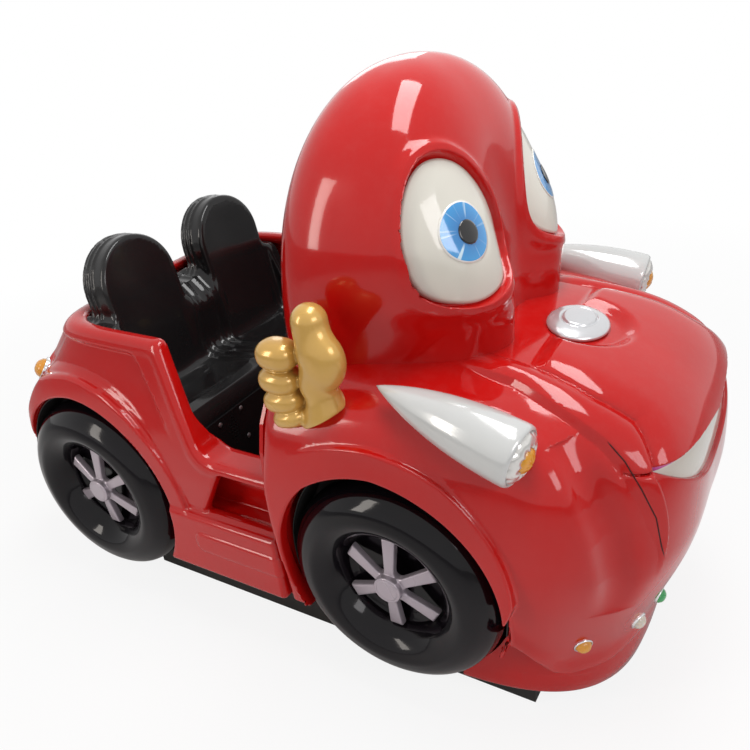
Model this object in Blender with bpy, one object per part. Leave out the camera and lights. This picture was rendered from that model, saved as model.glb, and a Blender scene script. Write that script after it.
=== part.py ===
"""Coin-operated kiddie ride car: a fixed base with a gear motor, and a fibreglass car that
rocks on a cross shaft.  Metres, +Z up, +X is the front of the car, floor at z = 0."""
import math

import bpy
import bmesh
from mathutils import Matrix, Vector

for old in list(bpy.data.objects):
    bpy.data.objects.remove(old, do_unlink=True)

# ---------------------------------------------------------------- driving sizes
FIT = 0.0003            # gap between pieces that touch
SEAT_GAP = 0.0005       # gap under pieces that sit on a moulded surface
RUNNING = 0.00008       # bearing clearance on the radius
WALL = 0.006            # fibreglass thickness

# base
BASE_REAR, BASE_FRONT = -0.500, 0.550
BASE_HALF = 0.310
SKIRT_TOP, SKIRT_LOW = 0.112, 0.008
SKIRT_WALL = 0.0044
TRAY_Z, TRAY_SHEET, TRAY_RIM = 0.024, 0.004, 0.060
FOOT_R, FOOT_STEM_R, FOOT_PAD = 0.022, 0.006, 0.010

# rocking pivot and drive
PIVOT_Z = 0.110
SHAFT_R, SHAFT_HALF = 0.0125, BASE_HALF - 0.025
BEARING_Y, BEARING_T = BASE_HALF - 0.055, 0.040
LUG_Y, LUG_T = 0.180, 0.010
ROCK_DEG = 3.0
CRANK_X, CRANK_Z = 0.350, 0.085
CRANK_DISC_R, ROLLER_R = 0.030, 0.008
THROW = CRANK_X * math.sin(math.radians(ROCK_DEG))
YOKE_Y, YOKE_T = 0.055, 0.010
YOKE_PLAY = 0.0045

# rocking frame and floor
FRAME_Z, FRAME_H = 0.150, 0.026
FRAME_REAR, FRAME_FRONT, FRAME_HALF, RAIL_W = -0.560, 0.600, 0.200, 0.040
FLOOR_T, FLOOR_FRONT, FLOOR_REAR = 0.010, 0.050, -0.575
WELL_HALF = BASE_HALF - 0.010

# wheels
FRONT_AXLE_X, REAR_AXLE_X, AXLE_Z = 0.280, -0.543, 0.293
WHEEL_GAP = 0.010       # from the base to the inner face of a tyre
TYRE_R, TYRE_IN, TYRE_W = 0.204, BASE_HALF + WHEEL_GAP, 0.098
DISC_R, DISC_BACK, HUB_FACE = 0.1177, TYRE_IN + 0.015, TYRE_IN + 0.090
AXLE_R = 0.012
ARCH_R, ARCH_Z = TYRE_R + 0.066, AXLE_Z + 0.015

# front moulding
FRONT_X0 = -0.015
FRONT_LOW, FRONT_SHOULDER, FRONT_CROWN = 0.100, 0.440, 0.305
FRONT_LEN_LOW, FRONT_LEN = 0.735, 0.8105
FRONT_HALF_LOW, FRONT_HALF = BASE_HALF + 0.095, BASE_HALF + 0.125
PILLAR_X, COWL_Z = 0.030, 0.600

# rear moulding: height, half width beyond the base and length behind the seat line for each row
TUB_X1 = -0.240
TUB_ROWS = (
    (0.150, 0.070, 0.494), (0.220, 0.080, 0.524), (0.320, 0.090, 0.550), (0.420, 0.094, 0.560),
    (0.490, 0.090, 0.5545), (0.560, 0.078, 0.516), (0.630, 0.064, 0.452), (0.690, 0.052, 0.399),
    (0.712, 0.044, 0.380),
)
SEAT_HALF = TYRE_IN - 0.0035
RAIL_TOP, RAIL_IN = 0.722, SEAT_HALF + SEAT_GAP - BASE_HALF
ENTRY_TOP_X, ENTRY_LOW_X, ENTRY_LOW_Z = -0.264, -0.164, 0.465
STEP_Z, STEP_LOW, STEP_OUT = 0.337, 0.165, BASE_HALF + 0.108

# head dome
HEAD_TOP, HEAD_LOW, HEAD_HALF = 1.226, 0.600, 0.335
HEAD_X, HEAD_A = 0.190, 0.200
HEAD_CURVE = HEAD_TOP - 0.446   # height where the sides start to draw in
EYE_LONG, EYE_WIDE, EYE_DEEP = 0.135, 0.098, 0.030
EYE_Y, EYE_Z = 0.190, HEAD_TOP - 0.276

# seat
SEAT_FRONT, SEAT_REAR = -0.245, -0.582
SEAT_Z, SEAT_WALL = 0.530, 0.006
BACK_Y, BACK_HALF, BACK_TOP = 0.165, 0.115, 0.877
PANEL_HALF, PANEL_LOW, PANEL_TOP, PANEL_T = 0.200, 0.200, 0.480, 0.005
SPEAKER_R, SPEAKER_Y, SPEAKER_Z = 0.045, -0.190, 0.345

# dashboard
DASH_X, DASH_T = 0.032, 0.008
COLUMN_Y, COLUMN_HALF = 0.165, 0.035
WHEEL_RIM_R, WHEEL_RIM_T, WHEEL_REACH = 0.115, 0.011, 0.055
HORN_R, START_R, RETURN_R = 0.016, 0.018, 0.008
START_Y, START_Z = -0.020, 0.560
COIN_Y, COIN_Z, COIN_W, COIN_H, COIN_T = -0.200, 0.555, 0.080, 0.130, 0.0115
DOOR_Y0, DOOR_Y1, DOOR_Z0, DOOR_Z1, DOOR_T = -0.262, -0.130, 0.230, 0.430, 0.006
COIN_SLOT = 0.0052
CASH_DEEP, CASH_WALL = 0.120, 0.002

# headlights
POD_R, POD_LEN = 0.056, 0.285
POD_END = Vector((0.556, 0.041 - FRONT_HALF, 0.678))
POD_AXIS = Vector((-0.265, 0.030, 0.058)).normalized()
LAMP_R, LAMP_DOME = 0.046, 0.032

# small lamps, badge and mouth
CHIN_Z, CHIN_R = 0.220, 0.017
CHIN_Y = (0.309, 0.209, 0.127)
TAIL_Z, TAIL_Y, TAIL_R = 0.575, BASE_HALF + 0.020, 0.026
BADGE_X, BADGE_A, BADGE_B, BADGE_C = 0.525, 0.056, 0.046, 0.014
MOUTH_HALF, MOUTH_LOW, MOUTH_TOP, MOUTH_CORNER, MOUTH_SHEET = 0.250, 0.496, 0.572, 0.600, 0.004

# hands
HAND_Y = FRONT_HALF - 0.063

TRAY_TOP = TRAY_Z + TRAY_SHEET
FRAME_TOP = FRAME_Z + FRAME_H
FLOOR_Z = FRAME_TOP + FIT
FLOOR_TOP = FLOOR_Z + FLOOR_T


# ---------------------------------------------------------------- materials
def finish(name, colour, rough, metal=0.0):
    mat = bpy.data.materials.new(name)
    mat.use_nodes = True
    node = mat.node_tree.nodes["Principled BSDF"]
    node.inputs["Base Color"].default_value = (*colour, 1.0)
    node.inputs["Roughness"].default_value = rough
    node.inputs["Metallic"].default_value = metal
    return mat


RED = finish("red_gelcoat", (0.55, 0.012, 0.012), 0.15)
BLACK = finish("black_moulding", (0.012, 0.012, 0.014), 0.2)
TYRE_BLACK = finish("tyre_black", (0.010, 0.010, 0.012), 0.25)
SILVER = finish("silver_paint", (0.50, 0.48, 0.52), 0.3, 0.6)
PEARL = finish("pearl_white", (0.72, 0.72, 0.70), 0.2)
GOLD = finish("gold_pearl", (0.62, 0.40, 0.10), 0.3, 0.4)
AMBER = finish("amber_lens", (0.85, 0.40, 0.02), 0.1)
CLEAR = finish("clear_lens", (0.85, 0.85, 0.80), 0.1)
GREEN = finish("green_lens", (0.05, 0.45, 0.10), 0.1)
WHITE = finish("eye_white", (0.75, 0.73, 0.66), 0.2)
STEEL = finish("zinc_steel", (0.50, 0.50, 0.50), 0.4, 1.0)
GREY = finish("grey_paint", (0.20, 0.21, 0.22), 0.5)
CHROME = finish("chrome", (0.75, 0.75, 0.75), 0.1, 1.0)
BRASS_YELLOW = finish("button_yellow", (0.85, 0.55, 0.05), 0.3)


# ---------------------------------------------------------------- making pieces
def piece(name, bm, mat, smooth=True, hidden=False):
    bmesh.ops.recalc_face_normals(bm, faces=bm.faces)
    mesh = bpy.data.meshes.new(name)
    bm.to_mesh(mesh)
    bm.free()
    ob = bpy.data.objects.new(name, mesh)
    bpy.context.scene.collection.objects.link(ob)
    if mat is not None:
        mesh.materials.append(mat)
    if smooth:
        mesh.shade_smooth()
        mesh.set_sharp_from_angle(angle=math.radians(35))
    if hidden:
        ob.hide_render = True
        ob.display_type = 'WIRE'
    return ob


def tool(name, bm):
    return piece(name, bm, None, smooth=False, hidden=True)


def boolean(ob, other, how):
    mod = ob.modifiers.new(f"{how.lower()}_{other.name}", 'BOOLEAN')
    mod.operation = how
    mod.solver = 'EXACT'
    mod.object = other
    return ob


def cut(ob, *tools):
    for t in tools:
        boolean(ob, t, 'DIFFERENCE')


def weld(ob, *tools):
    for t in tools:
        boolean(ob, t, 'UNION')


def keep_inside(ob, t):
    boolean(ob, t, 'INTERSECT')


def origin_at(ob, point):
    point = Vector(point)
    ob.data.transform(Matrix.Translation(-point))
    ob.location = point


def box_into(bm, x0, x1, y0, y1, z0, z1):
    size = Vector((x1 - x0, y1 - y0, z1 - z0))
    mid = Vector(((x0 + x1) / 2, (y0 + y1) / 2, (z0 + z1) / 2))
    bmesh.ops.create_cube(bm, size=1.0, matrix=Matrix.Translation(mid) @ Matrix.Diagonal((*size, 1.0)))
    return bm


def box(x0, x1, y0, y1, z0, z1):
    return box_into(bmesh.new(), x0, x1, y0, y1, z0, z1)


def along(direction):
    return Vector(direction).normalized().to_track_quat('Z', 'Y').to_matrix().to_4x4()


def rod_into(bm, start, end, r0, r1=None, segments=24):
    start, end = Vector(start), Vector(end)
    mid = (start + end) / 2
    bmesh.ops.create_cone(
        bm, cap_ends=True, segments=segments, radius1=r0, radius2=r0 if r1 is None else r1,
        depth=(end - start).length, matrix=Matrix.Translation(mid) @ along(end - start))
    return bm


def rod(start, end, r0, r1=None, segments=24):
    return rod_into(bmesh.new(), start, end, r0, r1, segments)


def ball_into(bm, centre, axes, segments=12, rings=8, turn=None):
    m = Matrix.Translation(Vector(centre)) @ (turn or Matrix.Identity(4)) @ Matrix.Diagonal((*axes, 1.0))
    bmesh.ops.create_uvsphere(bm, u_segments=segments, v_segments=rings, radius=1.0, matrix=m)
    return bm


def prism(outline, axis, lo, hi):
    """Extrude a closed outline along an axis: 'X' takes (y, z), 'Y' takes (x, z), 'Z' takes (x, y)."""
    place = {'X': lambda a, b, c: (c, a, b), 'Y': lambda a, b, c: (a, c, b), 'Z': lambda a, b, c: (a, b, c)}[axis]
    bm = bmesh.new()
    face = bm.faces.new([bm.verts.new(place(a, b, lo)) for a, b in outline])
    grown = bmesh.ops.extrude_face_region(bm, geom=[face])
    step = Vector(place(0, 0, hi)) - Vector(place(0, 0, lo))
    bmesh.ops.translate(bm, vec=step, verts=[g for g in grown['geom'] if isinstance(g, bmesh.types.BMVert)])
    return bm


def turned(profile, start, direction, segments=24):
    """Turn (distance along, radius) points about an axis; a radius of 0 closes on the axis."""
    bm = bmesh.new()
    m = Matrix.Translation(Vector(start)) @ along(direction)
    rings = []
    for s, r in profile:
        if r == 0:
            rings.append([bm.verts.new(m @ Vector((0, 0, s)))])
        else:
            rings.append([bm.verts.new(m @ Vector((r * math.cos(a), r * math.sin(a), s)))
                          for a in (2 * math.pi * i / segments for i in range(segments))])
    closed = len(rings[0]) > 1 and len(rings[-1]) > 1
    pairs = list(zip(rings, rings[1:]))
    if closed:
        pairs.append((rings[-1], rings[0]))
    for a, b in pairs:
        for i in range(segments):
            j = (i + 1) % segments
            quad = [a[i % len(a)], a[j % len(a)], b[j % len(b)], b[i % len(b)]]
            bm.faces.new([v for k, v in enumerate(quad) if v not in quad[:k]])
    return bm


# ---------------------------------------------------------------- moulded surfaces
def signed_power(v, e):
    return math.copysign(abs(v) ** e, v)


def ease(a, b, v):
    k = min(max((v - a) / (b - a), 0.0), 1.0)
    return k * k * (3 - 2 * k)


def front_point(t, b):
    """Hood, fenders and nose: t runs -1..1 round the front, b runs 0..1 from lip to crown."""
    th = t * math.pi / 2
    if b < 0.4:
        rho, z = 1.0, FRONT_LOW + (FRONT_SHOULDER - FRONT_LOW) * b / 0.4
    else:
        hi = (b - 0.4) / 0.6 * math.pi / 2
        rho = max(math.cos(hi), 0.0) ** (2 / 3.6)
        z = FRONT_SHOULDER + FRONT_CROWN * math.sin(hi) ** (2 / 3.6)
    k = ease(FRONT_LOW, FRONT_SHOULDER, z)
    long = FRONT_LEN_LOW + (FRONT_LEN - FRONT_LEN_LOW) * k
    half = FRONT_HALF_LOW + (FRONT_HALF - FRONT_HALF_LOW) * k
    n = 3.3 + 0.4 * k
    x = FRONT_X0 + rho * long * max(math.cos(th), 0.0) ** (2 / n)
    y = rho * half * signed_power(math.sin(th), 2 / n)
    return Vector((x, y, z))


def head_point(t, z):
    """Head dome: t runs -1..1 round the plan from the rear, z is height."""
    th = math.pi * t
    k = min(max((z - HEAD_CURVE) / (HEAD_TOP - HEAD_CURVE), 0.0), 1.0)
    shrink = max(1 - k ** 2.5, 0.0) ** (1 / 2.2)
    n = 3.4 - 1.0 * k
    c = signed_power(math.cos(th), 2 / n)
    s = signed_power(math.sin(th), 2 / n)
    taper = 0.42 - 0.22 * ease(0.70, 0.95, z)
    y = shrink * HEAD_HALF * s * (1 - taper * ((c + 1) / 2) ** 2)
    lobe = math.exp(-((abs(y) - 0.165) / 0.10) ** 4) * (1 - ease(HEAD_TOP - 0.376, HEAD_TOP - 0.066, z))
    x = HEAD_X + 0.005 * k + shrink * HEAD_A * c + max(c, 0.0) * lobe * 0.07
    return Vector((x, y, z))


def tub_point(t, row):
    z, beyond, length = row
    half = BASE_HALF + beyond
    if abs(t) > 1:
        return Vector((TUB_X1 + (abs(t) - 1) * (PILLAR_X - FIT - TUB_X1), math.copysign(half, t), z))
    th = t * math.pi / 2
    x = TUB_X1 - length * max(math.cos(th), 0.0) ** (2 / 9.0)
    return Vector((x, half * signed_power(math.sin(th), 2 / 9.0), z))


def spread(count, power=1.0):
    return [signed_power(-1 + 2 * i / (count - 1), power) for i in range(count)]


def sheet_of(rows, ring=False, pole=None):
    """A quad sheet through rows of points; a pole closes the last row with a fan."""
    bm = bmesh.new()
    grid = [[bm.verts.new(p) for p in row] for row in rows]
    span = len(rows[0]) if ring else len(rows[0]) - 1
    for a, b in zip(grid, grid[1:]):
        for i in range(span):
            j = (i + 1) % len(a)
            bm.faces.new((a[i], a[j], b[j], b[i]))
    if pole is not None:
        tip = bm.verts.new(pole)
        last = grid[-1]
        for i in range(span):
            bm.faces.new((last[i], last[(i + 1) % len(last)], tip))
    bmesh.ops.triangulate(bm, faces=bm.faces, quad_method='FIXED')
    return bm


def offset(bm, distance, outward):
    """Move a sheet along its normals by an even distance; outward tells which way is out."""
    bm.verts.index_update()
    bmesh.ops.recalc_face_normals(bm, faces=bm.faces)
    far = max(bm.faces, key=lambda f: f.calc_center_median().dot(outward))
    if far.normal.dot(outward) < 0:
        bmesh.ops.reverse_faces(bm, faces=bm.faces)
    bm.normal_update()
    moved = [(v, v.co + v.normal * distance * v.calc_shell_factor()) for v in bm.verts]
    for v, co in moved:
        v.co = co
    bm.verts.ensure_lookup_table()
    return bm


def close_with_caps(bm, rows, columns, pole=False, ring=False):
    """Cap a moved sheet: flat faces over its first row, over its last row and across its open ends."""
    bm.verts.ensure_lookup_table()
    at = [[bm.verts[r * columns + c] for c in range(columns)] for r in range(rows)]
    bm.faces.new(at[0])
    if not pole:
        bm.faces.new(at[-1])
    if not ring:
        tip = [bm.verts[rows * columns]] if pole else []
        bm.faces.new([row[0] for row in at] + tip + [row[-1] for row in reversed(at)])
    return bm


def wall_modifier(ob, thickness=WALL):
    mod = ob.modifiers.new("wall", 'SOLIDIFY')
    mod.thickness = thickness
    mod.offset = -1
    mod.use_even_offset = True
    return mod


FRONT_B = (0.0, 0.20, 0.40, 0.48, 0.56, 0.65, 0.75, 0.84, 0.92)
FRONT_T = spread(23)
HEAD_Z = [HEAD_LOW + (HEAD_TOP - HEAD_LOW) * f for f in (0.0, 0.208, 0.367, 0.527, 0.671, 0.783, 0.871, 0.935, 0.979)]
HEAD_T = spread(29)[:-1]
TUB_T = [-2.0, -1.5] + spread(15, 0.8) + [1.5, 2.0]
RAIL_ROWS = (
    (0.7195, 0.039, 0.375), (RAIL_TOP, 0.032, 0.368), (RAIL_TOP, RAIL_IN + 0.006, 0.349),
    (0.7165, RAIL_IN, 0.343), (0.700, RAIL_IN, 0.343),
)


def front_sheet():
    rows = [[front_point(t, b) for t in FRONT_T] for b in FRONT_B]
    return sheet_of(rows, pole=Vector((FRONT_X0, 0, FRONT_SHOULDER + FRONT_CROWN)))


def front_body(distance):
    """The solid bounded by the front surface moved by distance, closed at the lip and at the cowl."""
    bm = offset(front_sheet(), distance, Vector((1, 0, 0)))
    for v in bm.verts:
        if v.index % len(FRONT_T) in (0, len(FRONT_T) - 1) or v.index == len(FRONT_B) * len(FRONT_T):
            v.co.x = FRONT_X0
        if v.index < len(FRONT_T):
            v.co.z = FRONT_LOW
    return close_with_caps(bm, len(FRONT_B), len(FRONT_T), pole=True)


def head_sheet():
    rows = [[head_point(t, z) for t in HEAD_T] for z in HEAD_Z]
    return sheet_of(rows, ring=True, pole=Vector((HEAD_X + 0.005, 0, HEAD_TOP)))


def tub_sheet(rows, front=PILLAR_X - FIT):
    grid = []
    for row in rows:
        line = [tub_point(t, row) for t in TUB_T]
        line[0].x = line[-1].x = front
        grid.append(line)
    return sheet_of(grid)


def tub_body(distance, rows, front):
    """The solid inside the rear moulding, its surface moved by distance."""
    bm = offset(tub_sheet(rows, front), distance, Vector((-1, 0, 0)))
    for v in bm.verts:
        if v.index % len(TUB_T) in (0, len(TUB_T) - 1):
            v.co.x = front
        if v.index < len(TUB_T):
            v.co.z = rows[0][0]
    return close_with_caps(bm, len(rows), len(TUB_T))


# ---------------------------------------------------------------- fixed base
base_frame = piece("base_frame", box(
    BASE_REAR + SKIRT_WALL + FIT, BASE_FRONT - SKIRT_WALL - FIT,
    -BASE_HALF + SKIRT_WALL + FIT, BASE_HALF - SKIRT_WALL - FIT, TRAY_Z, TRAY_RIM), GREY, smooth=False)
tray_well = SKIRT_WALL + FIT + TRAY_SHEET
cut(base_frame, tool("tray_well", box(
    BASE_REAR + tray_well, BASE_FRONT - tray_well, -BASE_HALF + tray_well, BASE_HALF - tray_well,
    TRAY_TOP, TRAY_RIM + 0.05)))

base_skirt = piece("base_skirt", box(BASE_REAR, BASE_FRONT, -BASE_HALF, BASE_HALF, SKIRT_LOW, SKIRT_TOP), BLACK, smooth=False)
cut(base_skirt, tool("skirt_bore", box(
    BASE_REAR + SKIRT_WALL, BASE_FRONT - SKIRT_WALL, -BASE_HALF + SKIRT_WALL, BASE_HALF - SKIRT_WALL,
    SKIRT_LOW - 0.05, SKIRT_TOP + 0.05)))

for i, (x, y) in enumerate(((-1, -1), (-1, 1), (1, -1), (1, 1))):
    fx = BASE_FRONT - 0.060 if x > 0 else BASE_REAR + 0.060
    fy = y * (BASE_HALF - 0.060)
    foot = turned(((0, 0), (0, FOOT_R), (FOOT_PAD * 0.6, FOOT_R), (FOOT_PAD, FOOT_STEM_R + 0.003),
                   (FOOT_PAD, FOOT_STEM_R), (TRAY_Z - FIT, FOOT_STEM_R), (TRAY_Z - FIT, 0)),
                  (fx, fy, 0), (0, 0, 1), 12)
    piece(f"levelling_foot_{i + 1}", foot, BLACK)

gearbox = piece("gearbox", box(CRANK_X - 0.060, CRANK_X + 0.060, -0.075, 0.0277, TRAY_TOP + FIT, 0.125), GREY, smooth=False)
cut(gearbox, tool("output_bore", rod((CRANK_X, -0.002, CRANK_Z), (CRANK_X, 0.05, CRANK_Z), 0.0100 + FIT)))
MOTOR_R = 0.042
motor_end = CRANK_X - 0.060 - FIT
piece("gear_motor", turned(((0, 0), (0, MOTOR_R), (0.110, MOTOR_R), (0.112, MOTOR_R * 0.92), (0.150, MOTOR_R * 0.92),
                            (0.158, MOTOR_R * 0.75), (0.158, 0)),
                           (motor_end, -0.025, TRAY_TOP + 0.005 + MOTOR_R), (-1, 0, 0), 28), GREY)

crank = piece("crank", rod((CRANK_X, 0.028, CRANK_Z), (CRANK_X, 0.040, CRANK_Z), CRANK_DISC_R, segments=28), STEEL)
weld(crank, tool("crank_stub", rod((CRANK_X, 0.000, CRANK_Z), (CRANK_X, 0.034, CRANK_Z), 0.0100)),
     tool("crank_roller", rod((CRANK_X + THROW, 0.034, CRANK_Z), (CRANK_X + THROW, 0.068, CRANK_Z), ROLLER_R)))
origin_at(crank, (CRANK_X, 0, CRANK_Z))

shaft_bore = [tool(f"shaft_bore_{i}", rod((0, y - 0.05, PIVOT_Z), (0, y + 0.05, PIVOT_Z), SHAFT_R + RUNNING, segments=48))
              for i, y in enumerate((-BEARING_Y, BEARING_Y, -LUG_Y, LUG_Y))]
for i, side in enumerate((-1, 1)):
    y0, y1 = side * BEARING_Y - BEARING_T / 2, side * BEARING_Y + BEARING_T / 2
    block = piece(f"bearing_block_{'right' if side < 0 else 'left'}",
                  prism(((-0.050, TRAY_TOP + FIT), (0.050, TRAY_TOP + FIT), (0.050, 0.050), (0.028, 0.128),
                         (0.016, 0.138), (-0.016, 0.138), (-0.028, 0.128), (-0.050, 0.050)), 'Y', y0, y1),
                  GREY, smooth=False)
    cut(block, shaft_bore[i])

piece("control_box", box(-0.400, -0.200, -0.130, 0.130, TRAY_TOP + FIT, 0.100), GREY, smooth=False)
inlet = piece("power_inlet", box(BASE_REAR - 0.012, BASE_REAR - FIT, 0.100, 0.150, 0.044, 0.076), BLACK, smooth=False)
cut(inlet, tool("inlet_recess", box(BASE_REAR - 0.02, BASE_REAR - 0.003, 0.110, 0.140, 0.051, 0.069)))

# ---------------------------------------------------------------- rocking frame
piece("pivot_shaft", rod((0, -SHAFT_HALF, PIVOT_Z), (0, SHAFT_HALF, PIVOT_Z), SHAFT_R, segments=48), STEEL)

rail_in = FRAME_HALF - RAIL_W
rocker = piece("rocker_frame", box(FRAME_REAR, FRAME_FRONT, rail_in, FRAME_HALF, FRAME_Z, FRAME_TOP), STEEL, smooth=False)
parts = [box(FRAME_REAR + 0.001, FRAME_FRONT - 0.001, -FRAME_HALF, -rail_in, FRAME_Z, FRAME_TOP)]
for x in (FRAME_REAR + 0.030, -0.120, CRANK_X, FRAME_FRONT - 0.030):
    parts.append(box(x - 0.018, x + 0.018, -rail_in - 0.010, rail_in + 0.010, FRAME_Z + 0.002, FRAME_TOP - 0.002))
for side in (-1, 1):
    y = side * LUG_Y
    parts.append(prism(((-0.030, FRAME_Z + 0.010), (-0.026, 0.095), (-0.012, 0.084), (0.012, 0.084), (0.026, 0.095),
                        (0.030, FRAME_Z + 0.010)), 'Y', y - LUG_T / 2, y + LUG_T / 2))
parts.append(box(CRANK_X - 0.045, CRANK_X + 0.055, YOKE_Y - YOKE_T / 2, YOKE_Y + YOKE_T / 2, 0.058, FRAME_Z + 0.010))
weld(rocker, *[tool(f"frame_bar_{i}", b) for i, b in enumerate(parts)])
slot_half = ROLLER_R + YOKE_PLAY
cut(rocker, shaft_bore[2], shaft_bore[3],
    tool("yoke_slot", box(CRANK_X - slot_half, CRANK_X + THROW + slot_half, YOKE_Y - 0.03, YOKE_Y + 0.03,
                          CRANK_Z - slot_half, CRANK_Z + slot_half)))
origin_at(rocker, (0, 0, PIVOT_Z))

floor_pan = piece("floor_pan", prism((
    (FLOOR_REAR, -WELL_HALF), (REAR_AXLE_X + ARCH_R, -WELL_HALF), (REAR_AXLE_X + ARCH_R, -FRONT_HALF), (FLOOR_FRONT, -FRONT_HALF),
    (FLOOR_FRONT, FRONT_HALF), (REAR_AXLE_X + ARCH_R, FRONT_HALF), (REAR_AXLE_X + ARCH_R, WELL_HALF), (FLOOR_REAR, WELL_HALF)),
    'Z', FLOOR_Z, FLOOR_TOP), RED, smooth=False)
tub_all = TUB_ROWS + RAIL_ROWS
keep_inside(floor_pan, tool("tub_inside", tub_body(-(WALL + SEAT_GAP), TUB_ROWS, FLOOR_FRONT + 0.02)))

for name, x, z in (("axle_frame_front", FRONT_AXLE_X, FRAME_TOP + FIT), ("axle_frame_rear", REAR_AXLE_X, FLOOR_TOP + FIT)):
    axle = piece(name, rod((x, -DISC_BACK + FIT, AXLE_Z), (x, DISC_BACK - FIT, AXLE_Z), AXLE_R), STEEL)
    weld(axle, *[tool(f"{name}_post_{i}", box(x - 0.015, x + 0.015, y - 0.010, y + 0.010, z, AXLE_Z + 0.004))
                 for i, y in enumerate((-0.180, 0.180))])

# ---------------------------------------------------------------- fibreglass body
arches = []
for name, x in (("front", FRONT_AXLE_X), ("rear", REAR_AXLE_X)):
    for side in (-1, 1):
        arches.append(tool(f"arch_{name}_{'right' if side < 0 else 'left'}",
                           rod((x, side * WELL_HALF, ARCH_Z), (x, side * 0.55, ARCH_Z), ARCH_R, segments=40)))

front_grown = tool("front_grown", front_body(SEAT_GAP))
front_inside = tool("front_inside", front_body(-(WALL + SEAT_GAP)))
body_front = piece("body_front", offset(front_sheet(), 0.0, Vector((1, 0, 0))), RED)
wall_modifier(body_front)
cut(body_front, arches[0], arches[1],
    tool("pillar_cut", box(FRONT_X0 - 0.1, PILLAR_X, -0.6, 0.6, 0.0, COWL_Z)),
    *[tool(f"pillar_trim_{i}", box(-0.10, FRONT_AXLE_X - ARCH_R * 0.4, *sorted((side * WELL_HALF, side * 0.60)), 0.0, ARCH_Z))
      for i, side in enumerate((-1, 1))])

head_grown_sheet = offset(head_sheet(), SEAT_GAP, Vector((0, 0, 1)))
head_grown = tool("head_grown", close_with_caps(head_grown_sheet, len(HEAD_Z), len(HEAD_T), pole=True, ring=True))
head_shell = piece("head_shell", offset(head_sheet(), 0.0, Vector((0, 0, 1))), RED)
wall_modifier(head_shell)
cut(head_shell, front_grown)

body_rear = piece("body_rear", offset(tub_sheet(tub_all), 0.0, Vector((-1, 0, 0))), RED)
wall_modifier(body_rear)
entry = tool("entry_cut", prism(((ENTRY_TOP_X, 0.9), (ENTRY_TOP_X, 0.715), (ENTRY_LOW_X, ENTRY_LOW_Z), (0.2, ENTRY_LOW_Z),
                                 (0.2, 0.9)), 'Y', -0.60, 0.06 - BASE_HALF))
cowl_notch = tool("cowl_notch", box(FRONT_X0 - FIT, FRONT_X0 + 0.2, -0.60, 0.60, COWL_Z - FIT, 0.90))
cut(body_rear, arches[2], arches[3], entry, cowl_notch,
    *[tool(f"tail_trim_{i}", box(-0.90, REAR_AXLE_X - ARCH_R * 0.85, *sorted((side * WELL_HALF, side * 0.60)), 0.0, ARCH_Z + 0.02))
      for i, side in enumerate((-1, 1))])

step_sill = piece("step_sill", prism(((-BASE_HALF - 0.05, STEP_LOW), (-STEP_OUT + 0.006, STEP_LOW), (-STEP_OUT, STEP_LOW + 0.008),
                                      (-STEP_OUT, STEP_Z - 0.010), (-STEP_OUT + 0.008, STEP_Z), (-BASE_HALF - 0.05, STEP_Z)),
                                     'X', REAR_AXLE_X + ARCH_R + 0.020, FRONT_AXLE_X - ARCH_R - 0.002), RED, smooth=False)
cut(step_sill, tool("tub_grown", tub_body(SEAT_GAP, TUB_ROWS, PILLAR_X + 0.02)))

# ---------------------------------------------------------------- seat
seat_low = FLOOR_TOP + FIT
seat_outline = ((SEAT_FRONT, seat_low), (SEAT_FRONT, SEAT_Z - 0.030), (SEAT_FRONT - 0.018, SEAT_Z - 0.004),
                (SEAT_FRONT - 0.050, SEAT_Z), (-0.395, SEAT_Z - 0.012), (-0.500, SEAT_Z), (-0.548, 0.690), (-0.556, 0.700),
                (SEAT_REAR, 0.700), (SEAT_REAR, seat_low))
seat = piece("seat", prism(seat_outline, 'Y', -SEAT_HALF, SEAT_HALF), BLACK, smooth=False)
w = SEAT_WALL
seat_hollow = ((SEAT_FRONT - w, seat_low - 0.05), (SEAT_FRONT - w, SEAT_Z - 0.036), (SEAT_FRONT - 0.020, SEAT_Z - 0.011),
               (SEAT_FRONT - 0.050, SEAT_Z - w), (-0.395, SEAT_Z - 0.012 - w), (-0.504, SEAT_Z - w), (-0.552, 0.684),
               (-0.560, 0.694), (SEAT_REAR + w, 0.694), (SEAT_REAR + w, seat_low - 0.05))
for side in (-1, 1):
    y = side * BACK_Y
    top = [(y + BACK_HALF * math.cos(a), BACK_TOP - BACK_HALF + BACK_HALF * math.sin(a))
           for a in (math.pi * i / 12 for i in range(13))]
    slab = prism([(y - BACK_HALF, SEAT_Z - 0.003), (y + BACK_HALF, SEAT_Z - 0.003)] + top, 'X', -0.040, 0.040)
    lean = Matrix.Translation((-0.478, 0, SEAT_Z)) @ Matrix.Rotation(-math.radians(9), 4, 'Y') @ Matrix.Translation((0, 0, -SEAT_Z))
    bmesh.ops.transform(slab, matrix=lean, verts=slab.verts)
    weld(seat, tool(f"seat_back_{'right' if side < 0 else 'left'}", slab))
cut(seat, tool("seat_axle_holes", rod((REAR_AXLE_X, -0.5, AXLE_Z), (REAR_AXLE_X, 0.5, AXLE_Z), AXLE_R + 0.003)),
    tool("seat_hollow", prism(seat_hollow, 'Y', -SEAT_HALF + w, SEAT_HALF - w)),
    tool("speaker_hole", rod((SEAT_FRONT - 0.03, SPEAKER_Y, SPEAKER_Z), (SEAT_FRONT + 0.03, SPEAKER_Y, SPEAKER_Z), SPEAKER_R + FIT)))
piece("seat_panel", box(SEAT_FRONT + FIT, SEAT_FRONT + FIT + PANEL_T, -0.300, 0.300, PANEL_LOW, PANEL_TOP), BLACK, smooth=False)
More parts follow.
